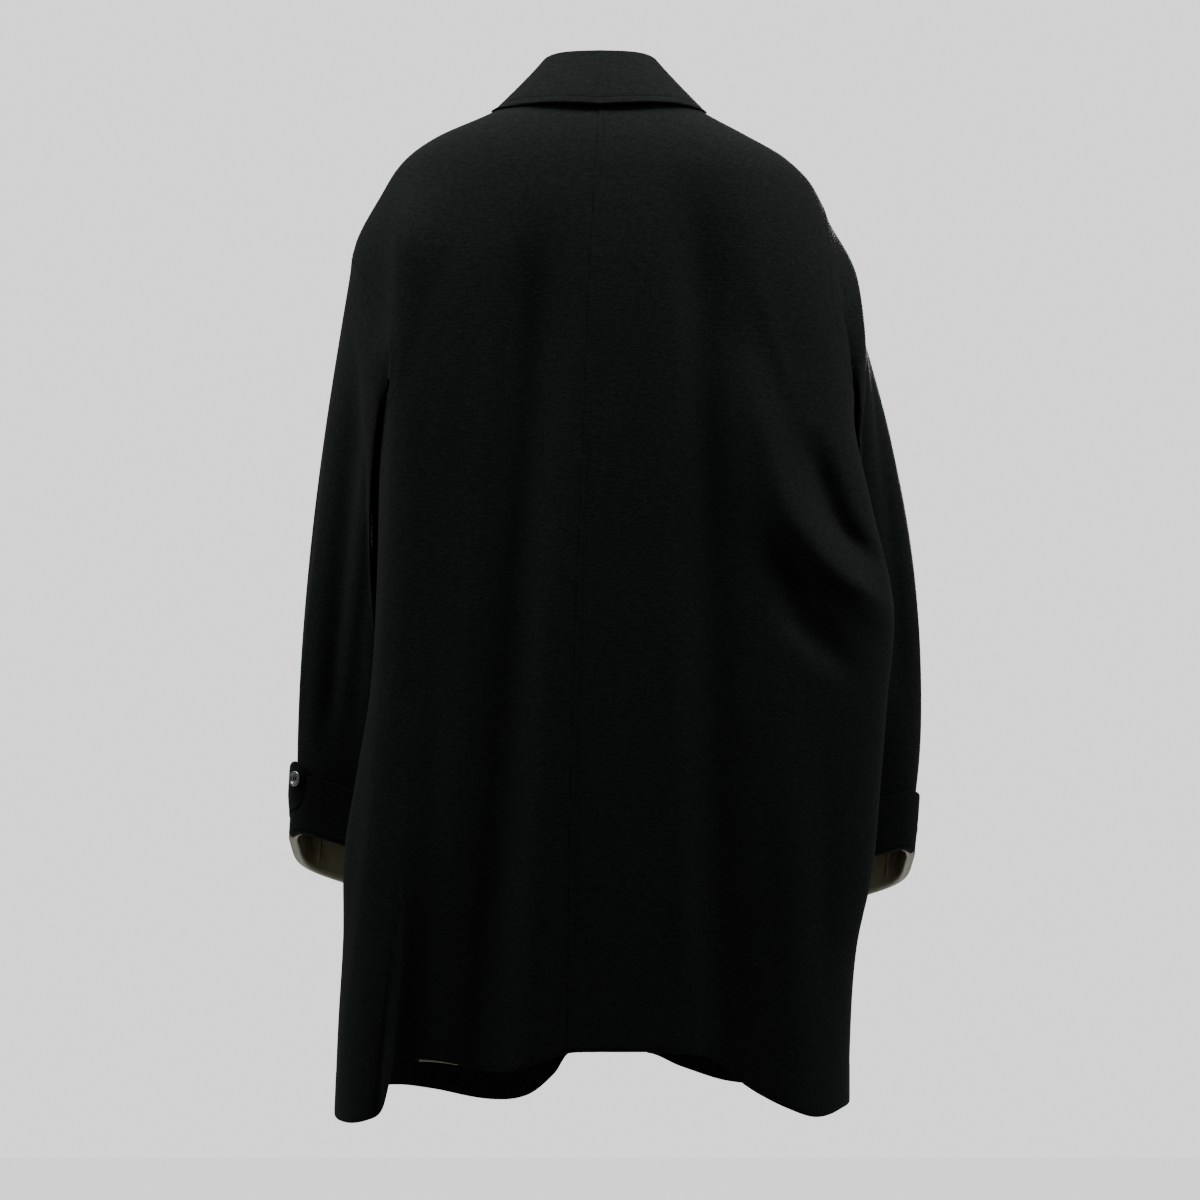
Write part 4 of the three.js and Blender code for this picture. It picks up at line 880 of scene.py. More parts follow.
def build_cuff_lining(side):
    """The lining inside the end of a sleeve, with its own long seam and soft ripples."""
    low, high = LINING["low"], LINING["high"]
    face = -sizes().cloth / MM - LINING["gap"]
    column = round_places()
    seam = np.exp(-((wrapped(column - LINING_SEAM, SLEEVE_COLUMNS) / LINING_SEAM_WIDTH) ** 2))
    outer, inner = [], []
    far = smooth(WRAP_REACH - WRAP_FALL * np.sin(2 * np.pi * column / SLEEVE_COLUMNS))
    for turn in LINING_TURN:
        over, under, up_over, up_under = (lerp(a, b, far) for a, b in zip(LINING_TURN[-1], turn))
        outer.append(ring_point(side, column, over, up_over))
        inner.append(ring_point(side, column, under, up_under))
    for up in low + edged(high - low, LINING_ROWS, steps=LINING_STEPS):
        rise = smooth((up - low) / LINING_RISE)
        ripple = np.sin(column * 2.3 + up / 17) + 0.6 * np.sin(column * 4.7 - up / 9 + side)
        deep = LINING_IN + rise * (LINING_SEAM_DEPTH * seam + LINING_RIPPLE * (LINING_SLACK + ripple))
        outer.append(ring_point(side, column, face - deep, up))
        inner.append(ring_point(side, column, face - LINING["wall"] - deep, up))
    outer, inner = np.array(outer), np.array(inner)
    obj = dress(f"cuff_lining_{SIDE_WORD[side]}", "lining", wall(outer, inner, ring=True))
    declare_sheet(obj, outer, ring=True)


def build_hem_lining():
    """The edge of the lining that hangs out inside the back hem."""
    start, stop, high, drop, thick, gap = HEM_LINING
    turn = np.linspace(start, stop, HEM_LINING_COLUMNS)
    hidden = lerp(*HEM_LINING_HIDDEN, smooth((turn - start) / (stop - start)))
    depth = sizes().cloth / MM + gap + HEM_LINING_IN
    outer, inner = [], []
    for up in edged(high + drop, HEM_LINING_ROWS, steps=LINING_STEPS) - drop:
        z = HEM[LEFT](turn) + up + hidden * (1 - up / high)
        point = body_point(LEFT, turn, z, 0.0)
        normal = body_normal(LEFT, turn, z)
        ripple = np.sin(turn * 1.1) + 0.6 * np.sin(turn * 2.3 + up / 11)
        deep = depth + HEM_LINING_RIPPLE * ripple * (1 - smooth(up / high))
        near = rounded(np.minimum(up + drop, high - up), HEM_LINING_ROUND)
        outer.append(point - normal * (deep + near)[:, None])
        inner.append(point - normal * (deep + thick - near)[:, None])
    outer, inner = np.array(outer), np.array(inner)
    declare_sheet(dress("hem_lining_left", "lining", wall(outer, inner)), outer)


def collar_places(count, fine):
    """Places round the neck seam, left front to right front: side, seam point, way out, shape."""
    turns, seams, outs, sides = [], [], [], []
    for side in SIDES:
        start = float(front_edge_turn(side, NECK(float(PANEL_END_TURN))))
        turn = np.linspace(start, 90, count)
        seam = body_point(side, turn, NECK(turn), fine)
        out = unit(body_normal(side, turn, NECK(turn)) * (1, 1, 0))
        keep = slice(None) if side == LEFT else slice(count - 2, None, -1)
        for made, part in ((turns, turn), (seams, seam), (outs, out), (sides, np.full(count, side))):
            made.append(part[keep])
    turn = np.concatenate(turns)
    return (np.concatenate(sides), np.concatenate(seams), np.concatenate(outs),
            [along(turn) for along in COLLAR_CURVES])


def collar_at(seam, out, reach, up):
    point = seam + out * np.asarray(reach)[..., None]
    point[..., 2] += up
    return point


def build_collar_stand():
    """The band on the neck seam that holds the collar up."""
    _, seam, out, (stand, _, _, lean) = collar_places(COLLAR_PLACES, sizes().fine_folds)
    lift, thick = COLLAR["lift"], COLLAR["wall"]
    high = float(stand.max())
    outer, inner = [], []
    for d in edged(high, STAND_ROWS):
        t = d / high
        inset = rounded(min(d, high - d), EDGE_ROUND)
        up = lerp(lift, stand - lift, t)
        outer.append(collar_at(seam, out, -lean * t - inset, up))
        inner.append(collar_at(seam, out, -lean * t - thick + inset, up))
    outer, _ = resampled(np.array(outer), COLLAR_COLUMNS, 0.0)
    inner, _ = resampled(np.array(inner), COLLAR_COLUMNS, 0.0)
    obj = dress("collar_stand", "wool", wall(outer, inner))
    declare_sheet(obj, outer)


def fall_surface():
    """Outer points and normals of the collar's fall, rows from inside the roll to the edge."""
    fine = sizes().fine_folds
    side, seam, out, (stand, fall, spread, lean) = collar_places(COLLAR_PLACES, fine)
    thick, clear = COLLAR["wall"], COLLAR["clear"]
    turned = np.arctan2(spread + lean, fall)
    spread = spread + FALL_OUT * smooth(stand / stand.max())
    x0, z0 = -lean, stand - ROLL_DROP
    points, normals, under = [], [], []

    def add(reach, up, angle, free):
        normal = out * np.cos(angle)[:, None] + np.array([0, 0, 1.0]) * np.sin(angle)[:, None]
        face = collar_at(seam, out, reach, up)
        back = face - normal * thick
        if free:
            for s in SIDES:
                here = side == s
                face[here] = keep_clear(s, face[here], thick + clear, fine)
                back[here] = keep_clear(s, back[here], clear, fine)
        points.append(face)
        normals.append(normal)
        under.append(back)

    for t in np.linspace(0, 1, ROLL_ROWS + 1)[:-1]:
        angle = lerp(np.radians(ROLL_START), turned, t)
        add(x0 + ROLL_RADIUS * np.cos(angle), z0 + ROLL_RADIUS * np.sin(angle), angle, False)
    x1, z1 = x0 + ROLL_RADIUS * np.cos(turned), z0 + ROLL_RADIUS * np.sin(turned)
    length = np.hypot(spread - x1, stand - fall - z1)
    last = 1 - EDGE_STEPS[::-1][:, None] / length
    first = np.linspace(0, 1, FALL_ROWS + 1)[:-1, None] * last[:1]
    run = np.linspace(0, 1, len(side))
    for t in np.concatenate([first, last]):
        wave = FALL_WAVE * t ** 2 * (np.sin(run * 23) + 0.7 * np.sin(run * 41 + 1))
        sag = FALL_CROWN * np.sin(np.pi * np.clip(t, 0, 1))
        add(lerp(x1, spread, t) + (wave + sag) * np.cos(turned), lerp(z1, stand - fall, t)
            + (wave + sag) * np.sin(turned), turned, True)
    grids = [resampled(np.array(grid), COLLAR_COLUMNS, 0.0) for grid in (points, under)]
    normal = grid_normals(grids[0][0], grids[0][0] - grids[1][0])
    return grids[0][0], grids[0][1], grids[1][0], normal


def build_collar_fall():
    """The collar's turned-down part, rolled over the stand, with a stitched edge."""
    points, along, under, normals = fall_surface()
    first, last, top, bottom = edge_distances(points, along)
    near = np.minimum.reduce([first, last, bottom])
    height = pulls("collar edge", bottom, along) - groove("collar", near, sizes().collar_stitch / MM)
    outer, inner = shell(points, under, normals, height, rounded(np.minimum(near, top), EDGE_ROUND))
    declare_sheet(dress("collar_fall", "wool", wall(outer, inner)), points)


def button_frame(spot, normal):
    """The axes of a button: two across it, and its normal."""
    across = unit(np.cross(normal, (0, 0, 1.0)))
    return spot, across, np.cross(normal, across), normal


def cuff_button_frame(side):
    column, up = TAB_END[side] - TAB["button"], TAB["middle"] + TAB["up"]
    grow = TAB_FACE + TAB["wall"]
    round_it = ring_point(side, column + 0.2, grow, up) - ring_point(side, column - 0.2, grow, up)
    up_it = ring_point(side, column, grow, up + 1) - ring_point(side, column, grow, up - 1)
    normal = unit(np.cross(round_it, up_it)) * side
    return button_frame(ring_point(side, column, grow, up) + normal * BUTTON_LIFT, normal)


def from_edge(side, z, distance):
    """The turn at a distance in from a front's edge."""
    turn = np.linspace(float(front_edge_turn(side, float(z))), FASTENING_END, EDGE_SAMPLES)
    line = body_point(side, turn, float(z), sizes().fine_folds)
    return np.interp(distance, run_lengths(line), turn)


def front_button_frame(z):
    turn = from_edge(RIGHT, z, FRONT_BUTTON_INSET)
    normal = body_normal(RIGHT, turn, float(z))
    return button_frame(body_point(RIGHT, turn, float(z), sizes().fine_folds) + normal * BUTTON_LIFT, normal)


def button_holes(radius):
    return radius * HOLE_SPREAD, radius * HOLE_SIZE


def build_button(name, size, axes):
    """A turned button: a raised rim, a dished middle and four holes."""
    radius, thick = size
    spot, across, up, normal = axes
    r = np.linspace(BUTTON_CORE, 0.97, BUTTON_RINGS)
    top = lerp(0.6, 1.0, smooth((r - 0.56) / 0.2)) - 0.16 * smooth((r - 0.88) / 0.12) ** 2
    profile = np.concatenate([np.stack([r, top], -1), BUTTON_RIM]) * (radius, thick)
    angle = np.linspace(0, 2 * np.pi, BUTTON_ROUND + 1)[:-1]
    x = profile[:, :1] * np.cos(angle)
    y = profile[:, :1] * np.sin(angle)
    h = profile[:, 1:] + np.zeros_like(x)
    reach, hole = button_holes(radius)
    for sx in (-1, 1):
        for sy in (-1, 1):
            off = np.hypot(x - sx * reach, y - sy * reach) / hole
            h[: len(r)] -= (thick * HOLE_DEPTH * np.exp(-(off ** 4)))[: len(r)]
    points = spot + x[..., None] * across + y[..., None] * up + h[..., None] * normal
    dress(name, "button", tube(points))


def capsules(starts, ends, normals, radius, arch):
    """Points and quads of short rounded threads from starts to ends, arched over the cloth."""
    along = ends - starts
    side = unit(np.cross(along, normals))
    rings = []
    for t, size in THREAD_RINGS:
        centre = starts + along * t + normals * (arch * np.sin(np.pi * t))
        for a in np.arange(THREAD_SIDES) * 2 * np.pi / THREAD_SIDES:
            rings.append(centre + (side * math.cos(a) + normals * math.sin(a)) * (radius * size))
    points = np.stack(rings, 1)
    far = len(rings) - THREAD_SIDES
    caps = ((0, 5, 4, 3), (0, 3, 2, 1), (far, far + 1, far + 2, far + 3), (far, far + 3, far + 4, far + 5))
    quads = np.concatenate([grid_quads(len(THREAD_RINGS), THREAD_SIDES, True), caps])
    quads = quads[None] + (np.arange(len(starts)) * len(rings))[:, None, None]
    points, quads = points.reshape(-1, 3), quads.reshape(-1, 4)
    return points, outward(points, quads)


def stitch_line(points, normals):
    """Stitches of the set pitch and length along a line on the cloth."""
    s = sizes()
    long = s.stitch_length / MM
    run = run_lengths(points)
    at = np.arange(FIRST_STITCH, run[-1] - long, s.stitch_pitch / MM)
    normal = unit(along_line(normals, run, at))
    starts, ends = (along_line(points, run, where) + normal * STITCH_SINK for where in (at, at + long))
    return capsules(starts, ends, normal, s.thread_radius / MM, STITCH_RISE)


def line_at(values, along, distance):
    """A line down a grid, at a distance from each row's start; a negative one is from its end."""
    line = []
    for row, run in zip(values, along):
        where = run[0] + distance if distance >= 0 else run[-1] + distance
        line.append([np.interp(where, run, row[:, n]) for n in range(3)])
    return np.array(line)


def joined(shapes):
    """The points and quads of several surfaces as those of one."""
    starts = np.cumsum([0] + [len(points) for points, _ in shapes])
    return (np.concatenate([points for points, _ in shapes]),
            np.concatenate([quads + start for (_, quads), start in zip(shapes, starts)]))


def collar_stitch_line():
    """The line of stitches above the lower edge of the collar's fall."""
    points, along, _, normals = fall_surface()
    bottom = edge_distances(points, along)[3]
    inset = sizes().collar_stitch / MM
    rows = np.arange(len(bottom))
    row = np.array([np.interp(inset, drop[::-1], rows[::-1]) for drop in bottom.T])
    low = np.floor(row).astype(int)
    column = np.arange(len(row))
    line = lerp(points[low, column], points[low + 1, column], (row - low)[:, None])
    keep = (along[-1] - along[-1, 0] > inset) & (along[-1, -1] - along[-1] > inset)
    return line[keep], normals[low, column][keep]


def build_stitching():
    """Rows of stitches: centre back, armholes, front edges, collar edge and cuff tabs."""
    s = sizes()
    rise, inset = s.seam_rise / MM, s.stitch_inset / MM
    hole = slice(YOKE_ROWS, YOKE_ROWS + ARMHOLE_ROWS)
    lines = []
    for side in SIDES:
        for face in (1, -1):
            points, normals, along = panel_grid(side, face)
            raised = points + normals * rise
            if face < 0:
                distance = s.edge_stitch / MM
                lines.append((line_at(points, along, distance), line_at(normals, along, distance)))
            elif side == RIGHT:
                lines.append((line_at(raised, along, inset), line_at(normals, along, inset)))
            lines.append((line_at(raised[hole], along[hole], -inset),
                          line_at(normals[hole], along[hole], -inset)))
        lines.append(tab_stitch_line(side))
    lines.append(collar_stitch_line())
    shape = joined([stitch_line(line, normals) for line, normals in lines])
    place(make_mesh("coat_stitching", *shape, thread_material()), "wool")


def tab_stitch_line(side):
    """The line of stitches inside the edge of a cuff tab: up its end and back along its top."""
    end = TAB_END[side]
    grow = TAB_FACE + TAB["wall"] + TAB_STITCH_LIFT
    inset = TAB_STITCH / TAB["half"]
    per_column = np.linalg.norm(ring_point(side, end - 1.0, grow, 0) - ring_point(side, end - 2.0, grow, 0))
    stop = end - TAB_STITCH / per_column
    along = np.linspace(stop, end - TAB["length"] + 0.1, TAB_STITCH_PLACES)
    across = np.linspace(-1 + inset, 1 - inset, TAB_STITCH_ACROSS)[TAB_STITCH_ACROSS // 2:-1]
    column = np.concatenate([np.full(len(across), stop), along])
    place_at = np.concatenate([across, np.full(len(along), 1 - inset)])
    points = tab_point(side, column, place_at, grow)
    return points, unit(tab_point(side, column, place_at, grow + 1) - points)


def build_button_threads():
    """The threads that cross between the holes of each button."""
    frames = [(cuff_button_frame(side), CUFF_BUTTON) for side in SIDES]
    frames += [(front_button_frame(z), FRONT_BUTTON) for z in FRONT_BUTTON_LEVELS]
    starts, ends, normals = [], [], []
    for (spot, across, up, normal), (radius, thick) in frames:
        reach, hole = button_holes(radius)
        for sx in (-1, 1):
            for shift in (-CROSS_APART, CROSS_APART):
                base = spot + across * (sx * reach + shift * hole) + normal * (thick * CROSS_UP)
                starts.append(base - up * reach)
                ends.append(base + up * reach)
                normals.append(normal)
    shape = capsules(np.array(starts), np.array(ends), np.array(normals), CROSS_THREAD, CROSS_ARCH)
    place(make_mesh("coat_button_threads", *shape, thread_material()), "button")


def build_buttonholes():
    """Four worked buttonholes on the wearer's left front, level with the buttons."""
    start, stop, half = BUTTONHOLE
    angle = np.linspace(0, 2 * np.pi, BUTTONHOLE_STEPS + 1)[:-1]
    reach = (stop - start) / 2
    away = start + reach + squared(np.cos(angle), BUTTONHOLE_ENDS) * reach
    rise = squared(np.sin(angle), BUTTONHOLE_SIDES) * half
    ridge = 1 + WORKED_RIDGE * np.cos(np.arange(BUTTONHOLE_STEPS) * np.pi)[:, None]
    shapes = []
    for z in FRONT_BUTTON_LEVELS:
        turn = from_edge(LEFT, z, away)
        path = body_point(LEFT, turn, z + rise, sizes().fine_folds)
        normal = body_normal(LEFT, turn, z + rise)
        ahead = unit(np.roll(path, -1, 0) - np.roll(path, 1, 0))
        side = unit(np.cross(ahead, normal))
        ring = []
        for a in np.arange(BUTTONHOLE_ROUND) * 2 * np.pi / BUTTONHOLE_ROUND:
            off = side * math.cos(a) * WORKED_WIDTH + normal * (math.sin(a) * WORKED_HEIGHT + WORKED_LIFT)
            ring.append(path + off * ridge)
        shapes.append(tube(np.array(ring)))
    place(make_mesh("coat_buttonholes", *joined(shapes), thread_material()), "wool")


def node_group(name, inputs, outputs):
    """An empty shader node group with named sockets, and its input and output nodes."""
    tree = bpy.data.node_groups.new(name, "ShaderNodeTree")
    for socket, kind, value in inputs:
        tree.interface.new_socket(socket, in_out="INPUT", socket_type=kind).default_value = value
    for socket, kind in outputs:
        tree.interface.new_socket(socket, in_out="OUTPUT", socket_type=kind)
    return tree, tree.nodes.new("NodeGroupInput"), tree.nodes.new("NodeGroupOutput")


def noise(tree, coords, detail, roughness):
    node = tree.nodes.new("ShaderNodeTexNoise")
    node.inputs["Detail"].default_value = detail
    node.inputs["Roughness"].default_value = roughness
    tree.links.new(coords, node.inputs["Vector"])
    return node


def math_node(tree, operation, a, b):
    node = tree.nodes.new("ShaderNodeMath")
    node.operation = operation
    for socket, value in zip(node.inputs, (a, b)):
        if isinstance(value, (int, float)):
            socket.default_value = value
        else:
            tree.links.new(value, socket)
    return node.outputs[0]


def nap_group():
    """Hairs and tufts drawn out along the lie of a cloth; gives a normal and a mask of tufts."""
    found = bpy.data.node_groups.get("Coat nap")
    if found:
        return found
    tree, given, made = node_group("Coat nap", (("Fibre Scale", "NodeSocketFloat", 900.0),
                                                ("Tuft Scale", "NodeSocketFloat", 400.0),
                                                ("Lie", "NodeSocketVector", (0.5, 0.5, 1.0)),
                                                ("Strength", "NodeSocketFloat", 0.6),
                                                ("Depth", "NodeSocketFloat", 0.0005)),
                                   (("Normal", "NodeSocketVector"), ("Tufts", "NodeSocketFloat")))
    coords = tree.nodes.new("ShaderNodeTexCoord")
    lie = tree.nodes.new("ShaderNodeVectorMath")
    lie.operation = "MULTIPLY"
    tree.links.new(coords.outputs["Object"], lie.inputs[0])
    tree.links.new(given.outputs["Lie"], lie.inputs[1])
    hairs = noise(tree, lie.outputs[0], 4.0, 0.62)
    tree.links.new(given.outputs["Fibre Scale"], hairs.inputs["Scale"])
    tufts = noise(tree, lie.outputs[0], 3.0, 0.55)
    tree.links.new(given.outputs["Tuft Scale"], tufts.inputs["Scale"])
    raised = math_node(tree, "MULTIPLY", tufts.outputs["Fac"], 1.3)
    height = math_node(tree, "ADD", hairs.outputs["Fac"], raised)
    bump = tree.nodes.new("ShaderNodeBump")
    tree.links.new(height, bump.inputs["Height"])
    tree.links.new(given.outputs["Strength"], bump.inputs["Strength"])
    tree.links.new(given.outputs["Depth"], bump.inputs["Distance"])
    tree.links.new(bump.outputs["Normal"], made.inputs["Normal"])
    spread = tree.nodes.new("ShaderNodeMapRange")
    spread.inputs["From Min"].default_value = 0.85
    spread.inputs["From Max"].default_value = 1.45
    tree.links.new(height, spread.inputs["Value"])
    tree.links.new(spread.outputs["Result"], made.inputs["Tufts"])
    return tree


def mottle_group():
    """Uneven shade in broad and in fine patches; gives a mask around a half."""
    found = bpy.data.node_groups.get("Coat mottle")
    if found:
        return found
    tree, given, made = node_group("Coat mottle", (("Scale", "NodeSocketFloat", 11.0),
                                                   ("Fine", "NodeSocketFloat", 90.0),
                                                   ("Low", "NodeSocketFloat", 0.3),
                                                   ("High", "NodeSocketFloat", 0.7)),
                                   (("Mask", "NodeSocketFloat"),))
    coords = tree.nodes.new("ShaderNodeTexCoord")
    broad = noise(tree, coords.outputs["Object"], 2.0, 0.5)
    tree.links.new(given.outputs["Scale"], broad.inputs["Scale"])
    fine = noise(tree, coords.outputs["Object"], 3.0, 0.6)
    tree.links.new(given.outputs["Fine"], fine.inputs["Scale"])
    both = math_node(tree, "MULTIPLY", math_node(tree, "ADD", broad.outputs["Fac"], fine.outputs["Fac"]), 0.5)
    spread = tree.nodes.new("ShaderNodeMapRange")
    tree.links.new(both, spread.inputs["Value"])
    tree.links.new(given.outputs["Low"], spread.inputs["From Min"])
    tree.links.new(given.outputs["High"], spread.inputs["From Max"])
    tree.links.new(spread.outputs["Result"], made.inputs["Mask"])
    return tree


def new_material(name):
    material = bpy.data.materials.new(name)
    material.use_nodes = True
    return material, material.node_tree, material.node_tree.nodes["Principled BSDF"]


def set_sockets(node, values):
    """Sets inputs of a node by name, where an underscore stands for a space."""
    for socket, value in values.items():
        node.inputs[socket.replace("_", " ")].default_value = value


def add_group(tree, group, values):
    node = tree.nodes.new("ShaderNodeGroup")
    node.node_tree = group
    set_sockets(node, values)
    return node


def mixed_colour(tree, factor, dark, light):
    node = tree.nodes.new("ShaderNodeMix")
    node.data_type = "RGBA"
    tree.links.new(factor, node.inputs["Factor"])
    node.inputs["A"].default_value = (*dark, 1)
    node.inputs["B"].default_value = (*light, 1)
    return node.outputs["Result"]


def surface(name, dark, light, nap, mottle, tufted=False, **gloss):
    """A material between two shades, with its relief from the nap and its shade from the mottle."""
    found = bpy.data.materials.get(name)
    if found:
        return found
    material, tree, shader = new_material(name)
    nap = add_group(tree, nap_group(), nap)
    mottle = add_group(tree, mottle_group(), mottle)
    shade = mottle.outputs["Mask"]
    if tufted:
        shade = math_node(tree, "MULTIPLY", nap.outputs["Tufts"], shade)
    tree.links.new(mixed_colour(tree, shade, dark, light), shader.inputs["Base Color"])
    tree.links.new(nap.outputs["Normal"], shader.inputs["Normal"])
    set_sockets(shader, gloss)
    return material


def wool_material():
    """Black melton: brushed wool with a dull nap and hardly any gloss."""
    c = colours()
    return surface("Coat wool", c.wool_dark, c.wool_light, {},
                   dict(Scale=120.0, Fine=520.0, Low=-0.5, High=1.1), tufted=True,
                   Roughness=0.9, Specular_IOR_Level=0.004, Sheen_Weight=0.001, Sheen_Roughness=0.6,
                   Sheen_Tint=(0.82, 0.9, 0.95, 1))


def lining_material():
    """Olive satin: fine twill lines, a soft gloss and a slightly uneven shade."""
    c = colours()
    return surface("Coat lining", c.lining_dark, c.lining_light,
                   dict(Fibre_Scale=1500.0, Tuft_Scale=420.0, Lie=(1.0, 1.0, 0.15), Strength=0.25,
                        Depth=0.0002),
                   dict(Scale=24.0, Fine=260.0), Roughness=0.5, Specular_IOR_Level=0.03, Anisotropic=0.5)


def button_material():
    """Polished dark horn with faint lighter streaks."""
    c = colours()
    return surface("Coat horn", c.horn_dark, c.horn_light,
                   dict(Fibre_Scale=2400.0, Tuft_Scale=700.0, Lie=(1.0, 1.0, 1.0), Strength=0.08,
                        Depth=0.0001),
                   dict(Scale=160.0, Fine=900.0, Low=0.35, High=0.75),
                   Roughness=0.3, Specular_IOR_Level=0.1, Coat_Weight=0.03, Coat_Roughness=0.12)


def thread_material():
    """Black twisted sewing thread, a little glossier than the wool."""
    c = colours()
    return surface("Coat thread", c.wool_dark, c.thread,
                   dict(Fibre_Scale=3200.0, Tuft_Scale=1400.0, Lie=(1.0, 1.0, 1.0), Strength=0.5,
                        Depth=0.0001),
                   dict(Scale=60.0, Fine=700.0), Roughness=0.8, Specular_IOR_Level=0.004)


def stage_material():
    """Plain pale studio paper, with the faintest grain."""
    material, tree, shader = new_material("Studio paper")
    mottle = add_group(tree, mottle_group(), dict(Scale=3.0, Fine=400.0))
    c = colours()
    darker = tuple(v * 0.985 for v in c.paper)
    tree.links.new(mixed_colour(tree, mottle.outputs["Mask"], darker, c.paper), shader.inputs["Base Color"])
    shader.inputs["Roughness"].default_value = 0.85
    return material


def build_floor():
    """A wide pale floor, well below the coat."""
    across = np.linspace(-FLOOR_REACH, FLOOR_REACH, FLOOR_STEPS)
    grid = np.array([[(x, y, FLOOR_LEVEL) for x in across] for y in across]) / MM
    rows, columns = grid.shape[:2]
    obj = make_mesh("studio_floor", grid.reshape(-1, 3), grid_quads(rows, columns, False), stage_material())


def add_light(name, place_at, aim, size, energy):
    """A soft square area light, in watts, that points at a place."""
    light = bpy.data.lights.new(name, "AREA")
    light.shape = "SQUARE"
    light.size = size
    light.energy = energy
    obj = bpy.data.objects.new(name, light)
    obj.location = place_at
    obj.rotation_euler = (Vector(aim) - Vector(place_at)).to_track_quat("-Z", "Y").to_euler()
    bpy.context.scene.collection.objects.link(obj)


def build_camera():
    """The photograph's own viewpoint, behind the coat and a little below its middle."""
    data = bpy.data.cameras.new("camera")
    data.sensor_width = CAMERA_SENSOR
    data.lens = CAMERA_LENS
    obj = bpy.data.objects.new("camera", data)
    obj.location = CAMERA_AT
    obj.rotation_euler = (Vector(CAMERA_AIM) - Vector(CAMERA_AT)).to_track_quat("-Z", "Y").to_euler()
    bpy.context.scene.collection.objects.link(obj)
    bpy.context.scene.camera = obj


def build_world():
    world = bpy.data.worlds.new("studio")
    world.use_nodes = True
    background = world.node_tree.nodes["Background"]
    background.inputs["Color"].default_value = (*colours().surround, 1)
    background.inputs["Strength"].default_value = SURROUND_STRENGTH
    bpy.context.scene.world = world


def length(name, description, default, high):
    return bpy.props.FloatProperty(name=name, description=description, default=default, min=0.0, max=high,
                                   unit="LENGTH", precision=5)


def colour(name, description, default):
    return bpy.props.FloatVectorProperty(name=name, description=description, default=default, size=3,
                                         subtype="COLOR", min=0.0, max=1.0)


class CoatSizes(bpy.types.PropertyGroup):
    """Sizes of the cloth and its sewing."""

    cloth: length("Cloth", "Thickness of the wool cloth", 0.0022, 0.01)
    seam_gap: length("Seam gap", "Space between two pieces at a seam", 0.00005, 0.002)
    seam_band: length("Seam band", "Width of a lapped seam's raised band", 0.0072, 0.02)
    seam_rise: length("Seam rise", "Height of a lapped seam's raised band", 0.0004, 0.003)
    stitch_inset: length("Seam stitches", "Distance of the stitches from a lapped seam", 0.0055, 0.02)
    edge_stitch: length("Edge stitches", "Distance of the stitches from a front's edge", 0.008, 0.03)
    collar_stitch: length("Collar stitches", "Distance of the stitches from the collar's edge", 0.009, 0.03)
    hem_depth: length("Hem", "Height of the turned-up hem", 0.038, 0.1)
    stitch_pitch: length("Stitch pitch", "Distance from one stitch to the next", 0.0036, 0.02)
    stitch_length: length("Stitch length", "Length of the thread that shows", 0.0026, 0.02)
    thread_radius: length("Thread radius", "Half the thickness of the thread", 0.00026, 0.001)
    fine_folds: bpy.props.FloatProperty(name="Lesser folds", description="Share of the lesser folds' height",
                                        default=1.0, min=0.0, max=1.5)


class CoatColours(bpy.types.PropertyGroup):
    """Colours of the cloths, the horn and the studio."""

    wool_dark: colour("Wool, dark", "The wool between its tufts", (0.00014, 0.00019, 0.00016))
    wool_light: colour("Wool, light", "The wool on its tufts", (0.0006, 0.00078, 0.00069))
    thread: colour("Thread", "Sewing thread", (0.0008, 0.0009, 0.00085))
    lining_dark: colour("Lining, dark", "The lining's darker shade", (0.0105, 0.0098, 0.0056))
    lining_light: colour("Lining, light", "The lining's lighter shade", (0.0135, 0.0126, 0.0074))
    horn_dark: colour("Horn, dark", "The buttons' ground colour", (0.0014, 0.0014, 0.0016))
    horn_light: colour("Horn, light", "The buttons' streaks", (0.0038, 0.0038, 0.0038))
    paper: colour("Paper", "The studio floor", (0.9, 0.9, 0.9))
    surround: colour("Surround", "Light from all round", (1.0, 1.0, 1.0))


class COAT_OT_body(bpy.types.Operator):
    """Dresses the two backs and the two fronts"""

    bl_idname = "coat.body"
    bl_label = "Body panels"

    def execute(self, context):
        for side in SIDES:
            for face in (1, -1):
                build_panel(side, face)
        return {"FINISHED"}


class COAT_OT_sleeves(bpy.types.Operator):
    """Dresses the upper and under pieces of both sleeves"""

    bl_idname = "coat.sleeves"
    bl_label = "Sleeves"

    def execute(self, context):
        for side in SIDES:
            build_sleeve(side, "upper", UNDER_TO - SLEEVE_COLUMNS, UNDER_FROM, UPPER_COLUMNS)
            build_sleeve(side, "under", UNDER_FROM, UNDER_TO, UNDER_COLUMNS)
        return {"FINISHED"}


class COAT_OT_cuffs(bpy.types.Operator):
    """Dresses the turned-up cuffs and their tabs"""

    bl_idname = "coat.cuffs"
    bl_label = "Cuffs and tabs"

    def execute(self, context):
        for side in SIDES:
            build_cuff(side)
            build_tab(side)
        return {"FINISHED"}


class COAT_OT_linings(bpy.types.Operator):
    """Dresses the lining that shows inside the cuffs and the back hem"""

    bl_idname = "coat.linings"
    bl_label = "Linings"

    def execute(self, context):
        for side in SIDES:
            build_cuff_lining(side)
        build_hem_lining()
        return {"FINISHED"}


class COAT_OT_collar(bpy.types.Operator):
    """Dresses the collar's stand and its turned-down fall"""

    bl_idname = "coat.collar"
    bl_label = "Collar"

    def execute(self, context):
        build_collar_stand()
        build_collar_fall()
        return {"FINISHED"}


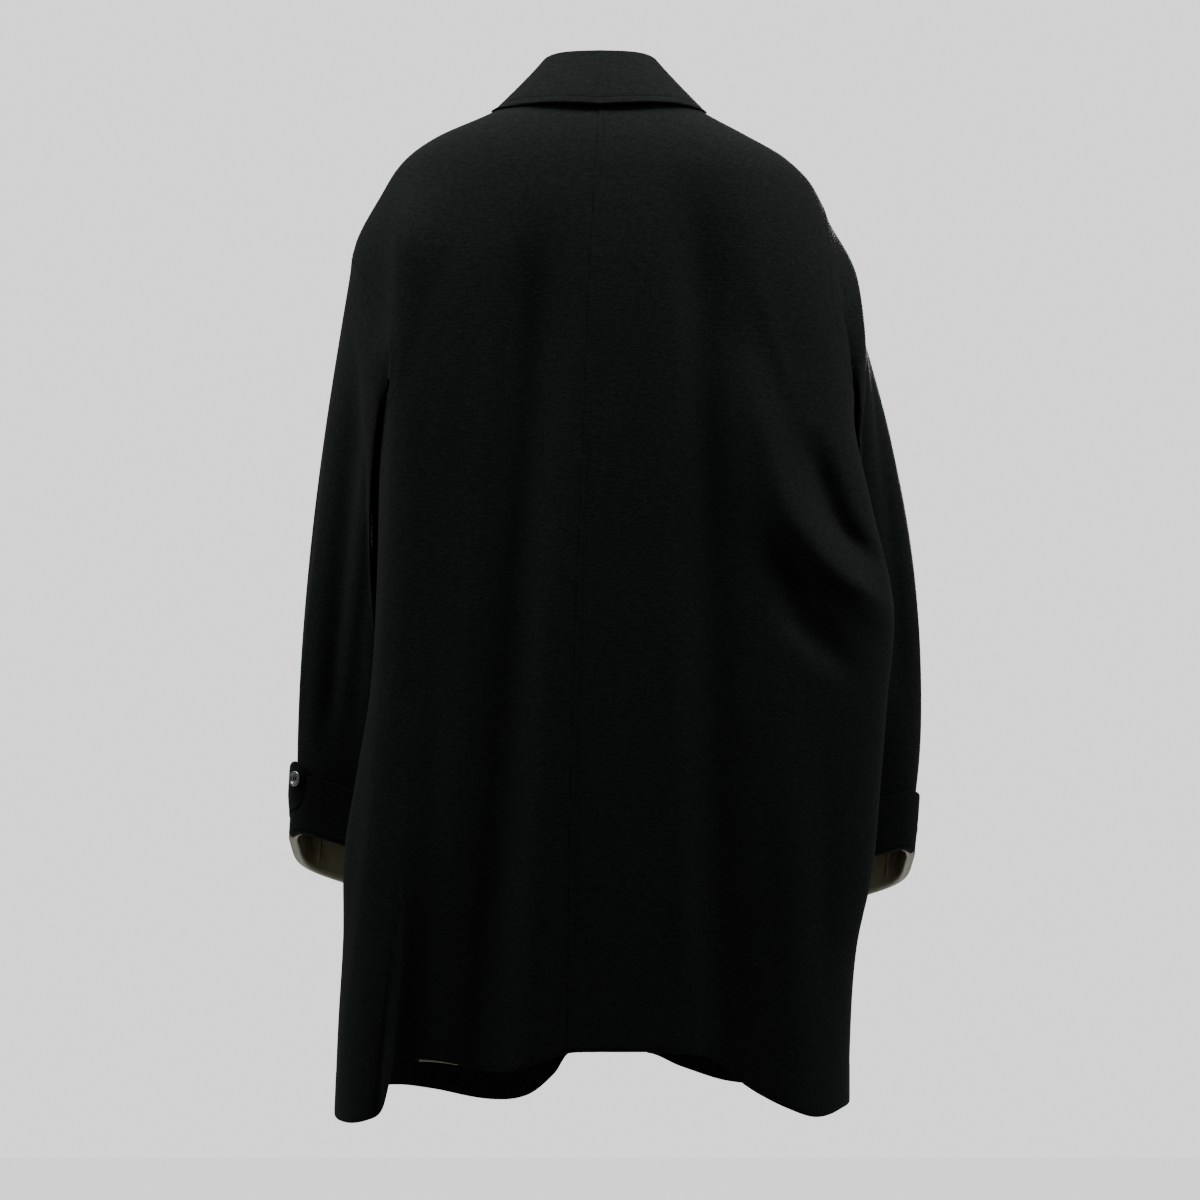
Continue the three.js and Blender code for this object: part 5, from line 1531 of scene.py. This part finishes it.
class COAT_OT_buttons(bpy.types.Operator):
    """Dresses the buttons, with their threads and buttonholes"""

    bl_idname = "coat.buttons"
    bl_label = "Buttons"

    def execute(self, context):
        for side in SIDES:
            build_button(f"cuff_button_{SIDE_WORD[side]}", CUFF_BUTTON, cuff_button_frame(side))
        for n, z in enumerate(FRONT_BUTTON_LEVELS):
            build_button(f"front_button_{n + 1}", FRONT_BUTTON, front_button_frame(z))
        build_button_threads()
        build_buttonholes()
        return {"FINISHED"}


class COAT_OT_stitching(bpy.types.Operator):
    """Sews the visible rows of stitches"""

    bl_idname = "coat.stitching"
    bl_label = "Stitching"

    def execute(self, context):
        build_stitching()
        return {"FINISHED"}


class COAT_OT_stage(bpy.types.Operator):
    """Sets up the pale floor, the soft studio light and the camera"""

    bl_idname = "coat.stage"
    bl_label = "Studio"

    def execute(self, context):
        build_floor()
        build_world()
        for light in LIGHTS:
            add_light(*light)
        build_camera()
        return {"FINISHED"}


OPERATORS = (COAT_OT_body, COAT_OT_sleeves, COAT_OT_cuffs, COAT_OT_linings, COAT_OT_collar, COAT_OT_buttons,
             COAT_OT_stitching, COAT_OT_stage)


class COAT_PT_panel(bpy.types.Panel):
    """Lists the coat's sizes, colours and steps"""

    bl_idname = "COAT_PT_panel"
    bl_label = "Wool coat"
    bl_space_type = "VIEW_3D"
    bl_region_type = "UI"
    bl_category = "Coat"

    def draw(self, context):
        for group in (sizes(), colours()):
            box = self.layout.box()
            for name in group.bl_rna.properties.keys():
                if name not in ("rna_type", "name"):
                    box.prop(group, name)
        for operator in OPERATORS:
            self.layout.operator(operator.bl_idname)


CLASSES = (CoatSizes, CoatColours, *OPERATORS, COAT_PT_panel)


def register():
    for cls in CLASSES:
        bpy.utils.register_class(cls)
    bpy.types.Scene.coat_sizes = bpy.props.PointerProperty(type=CoatSizes)
    bpy.types.Scene.coat_colours = bpy.props.PointerProperty(type=CoatColours)


def unregister():
    del bpy.types.Scene.coat_colours
    del bpy.types.Scene.coat_sizes
    for cls in reversed(CLASSES):
        bpy.utils.unregister_class(cls)


def main():
    register()
    for operator in (bpy.ops.coat.body, bpy.ops.coat.sleeves, bpy.ops.coat.cuffs, bpy.ops.coat.linings,
                     bpy.ops.coat.collar, bpy.ops.coat.buttons, bpy.ops.coat.stitching, bpy.ops.coat.stage):
        operator()


if __name__ == "__main__":
    main()
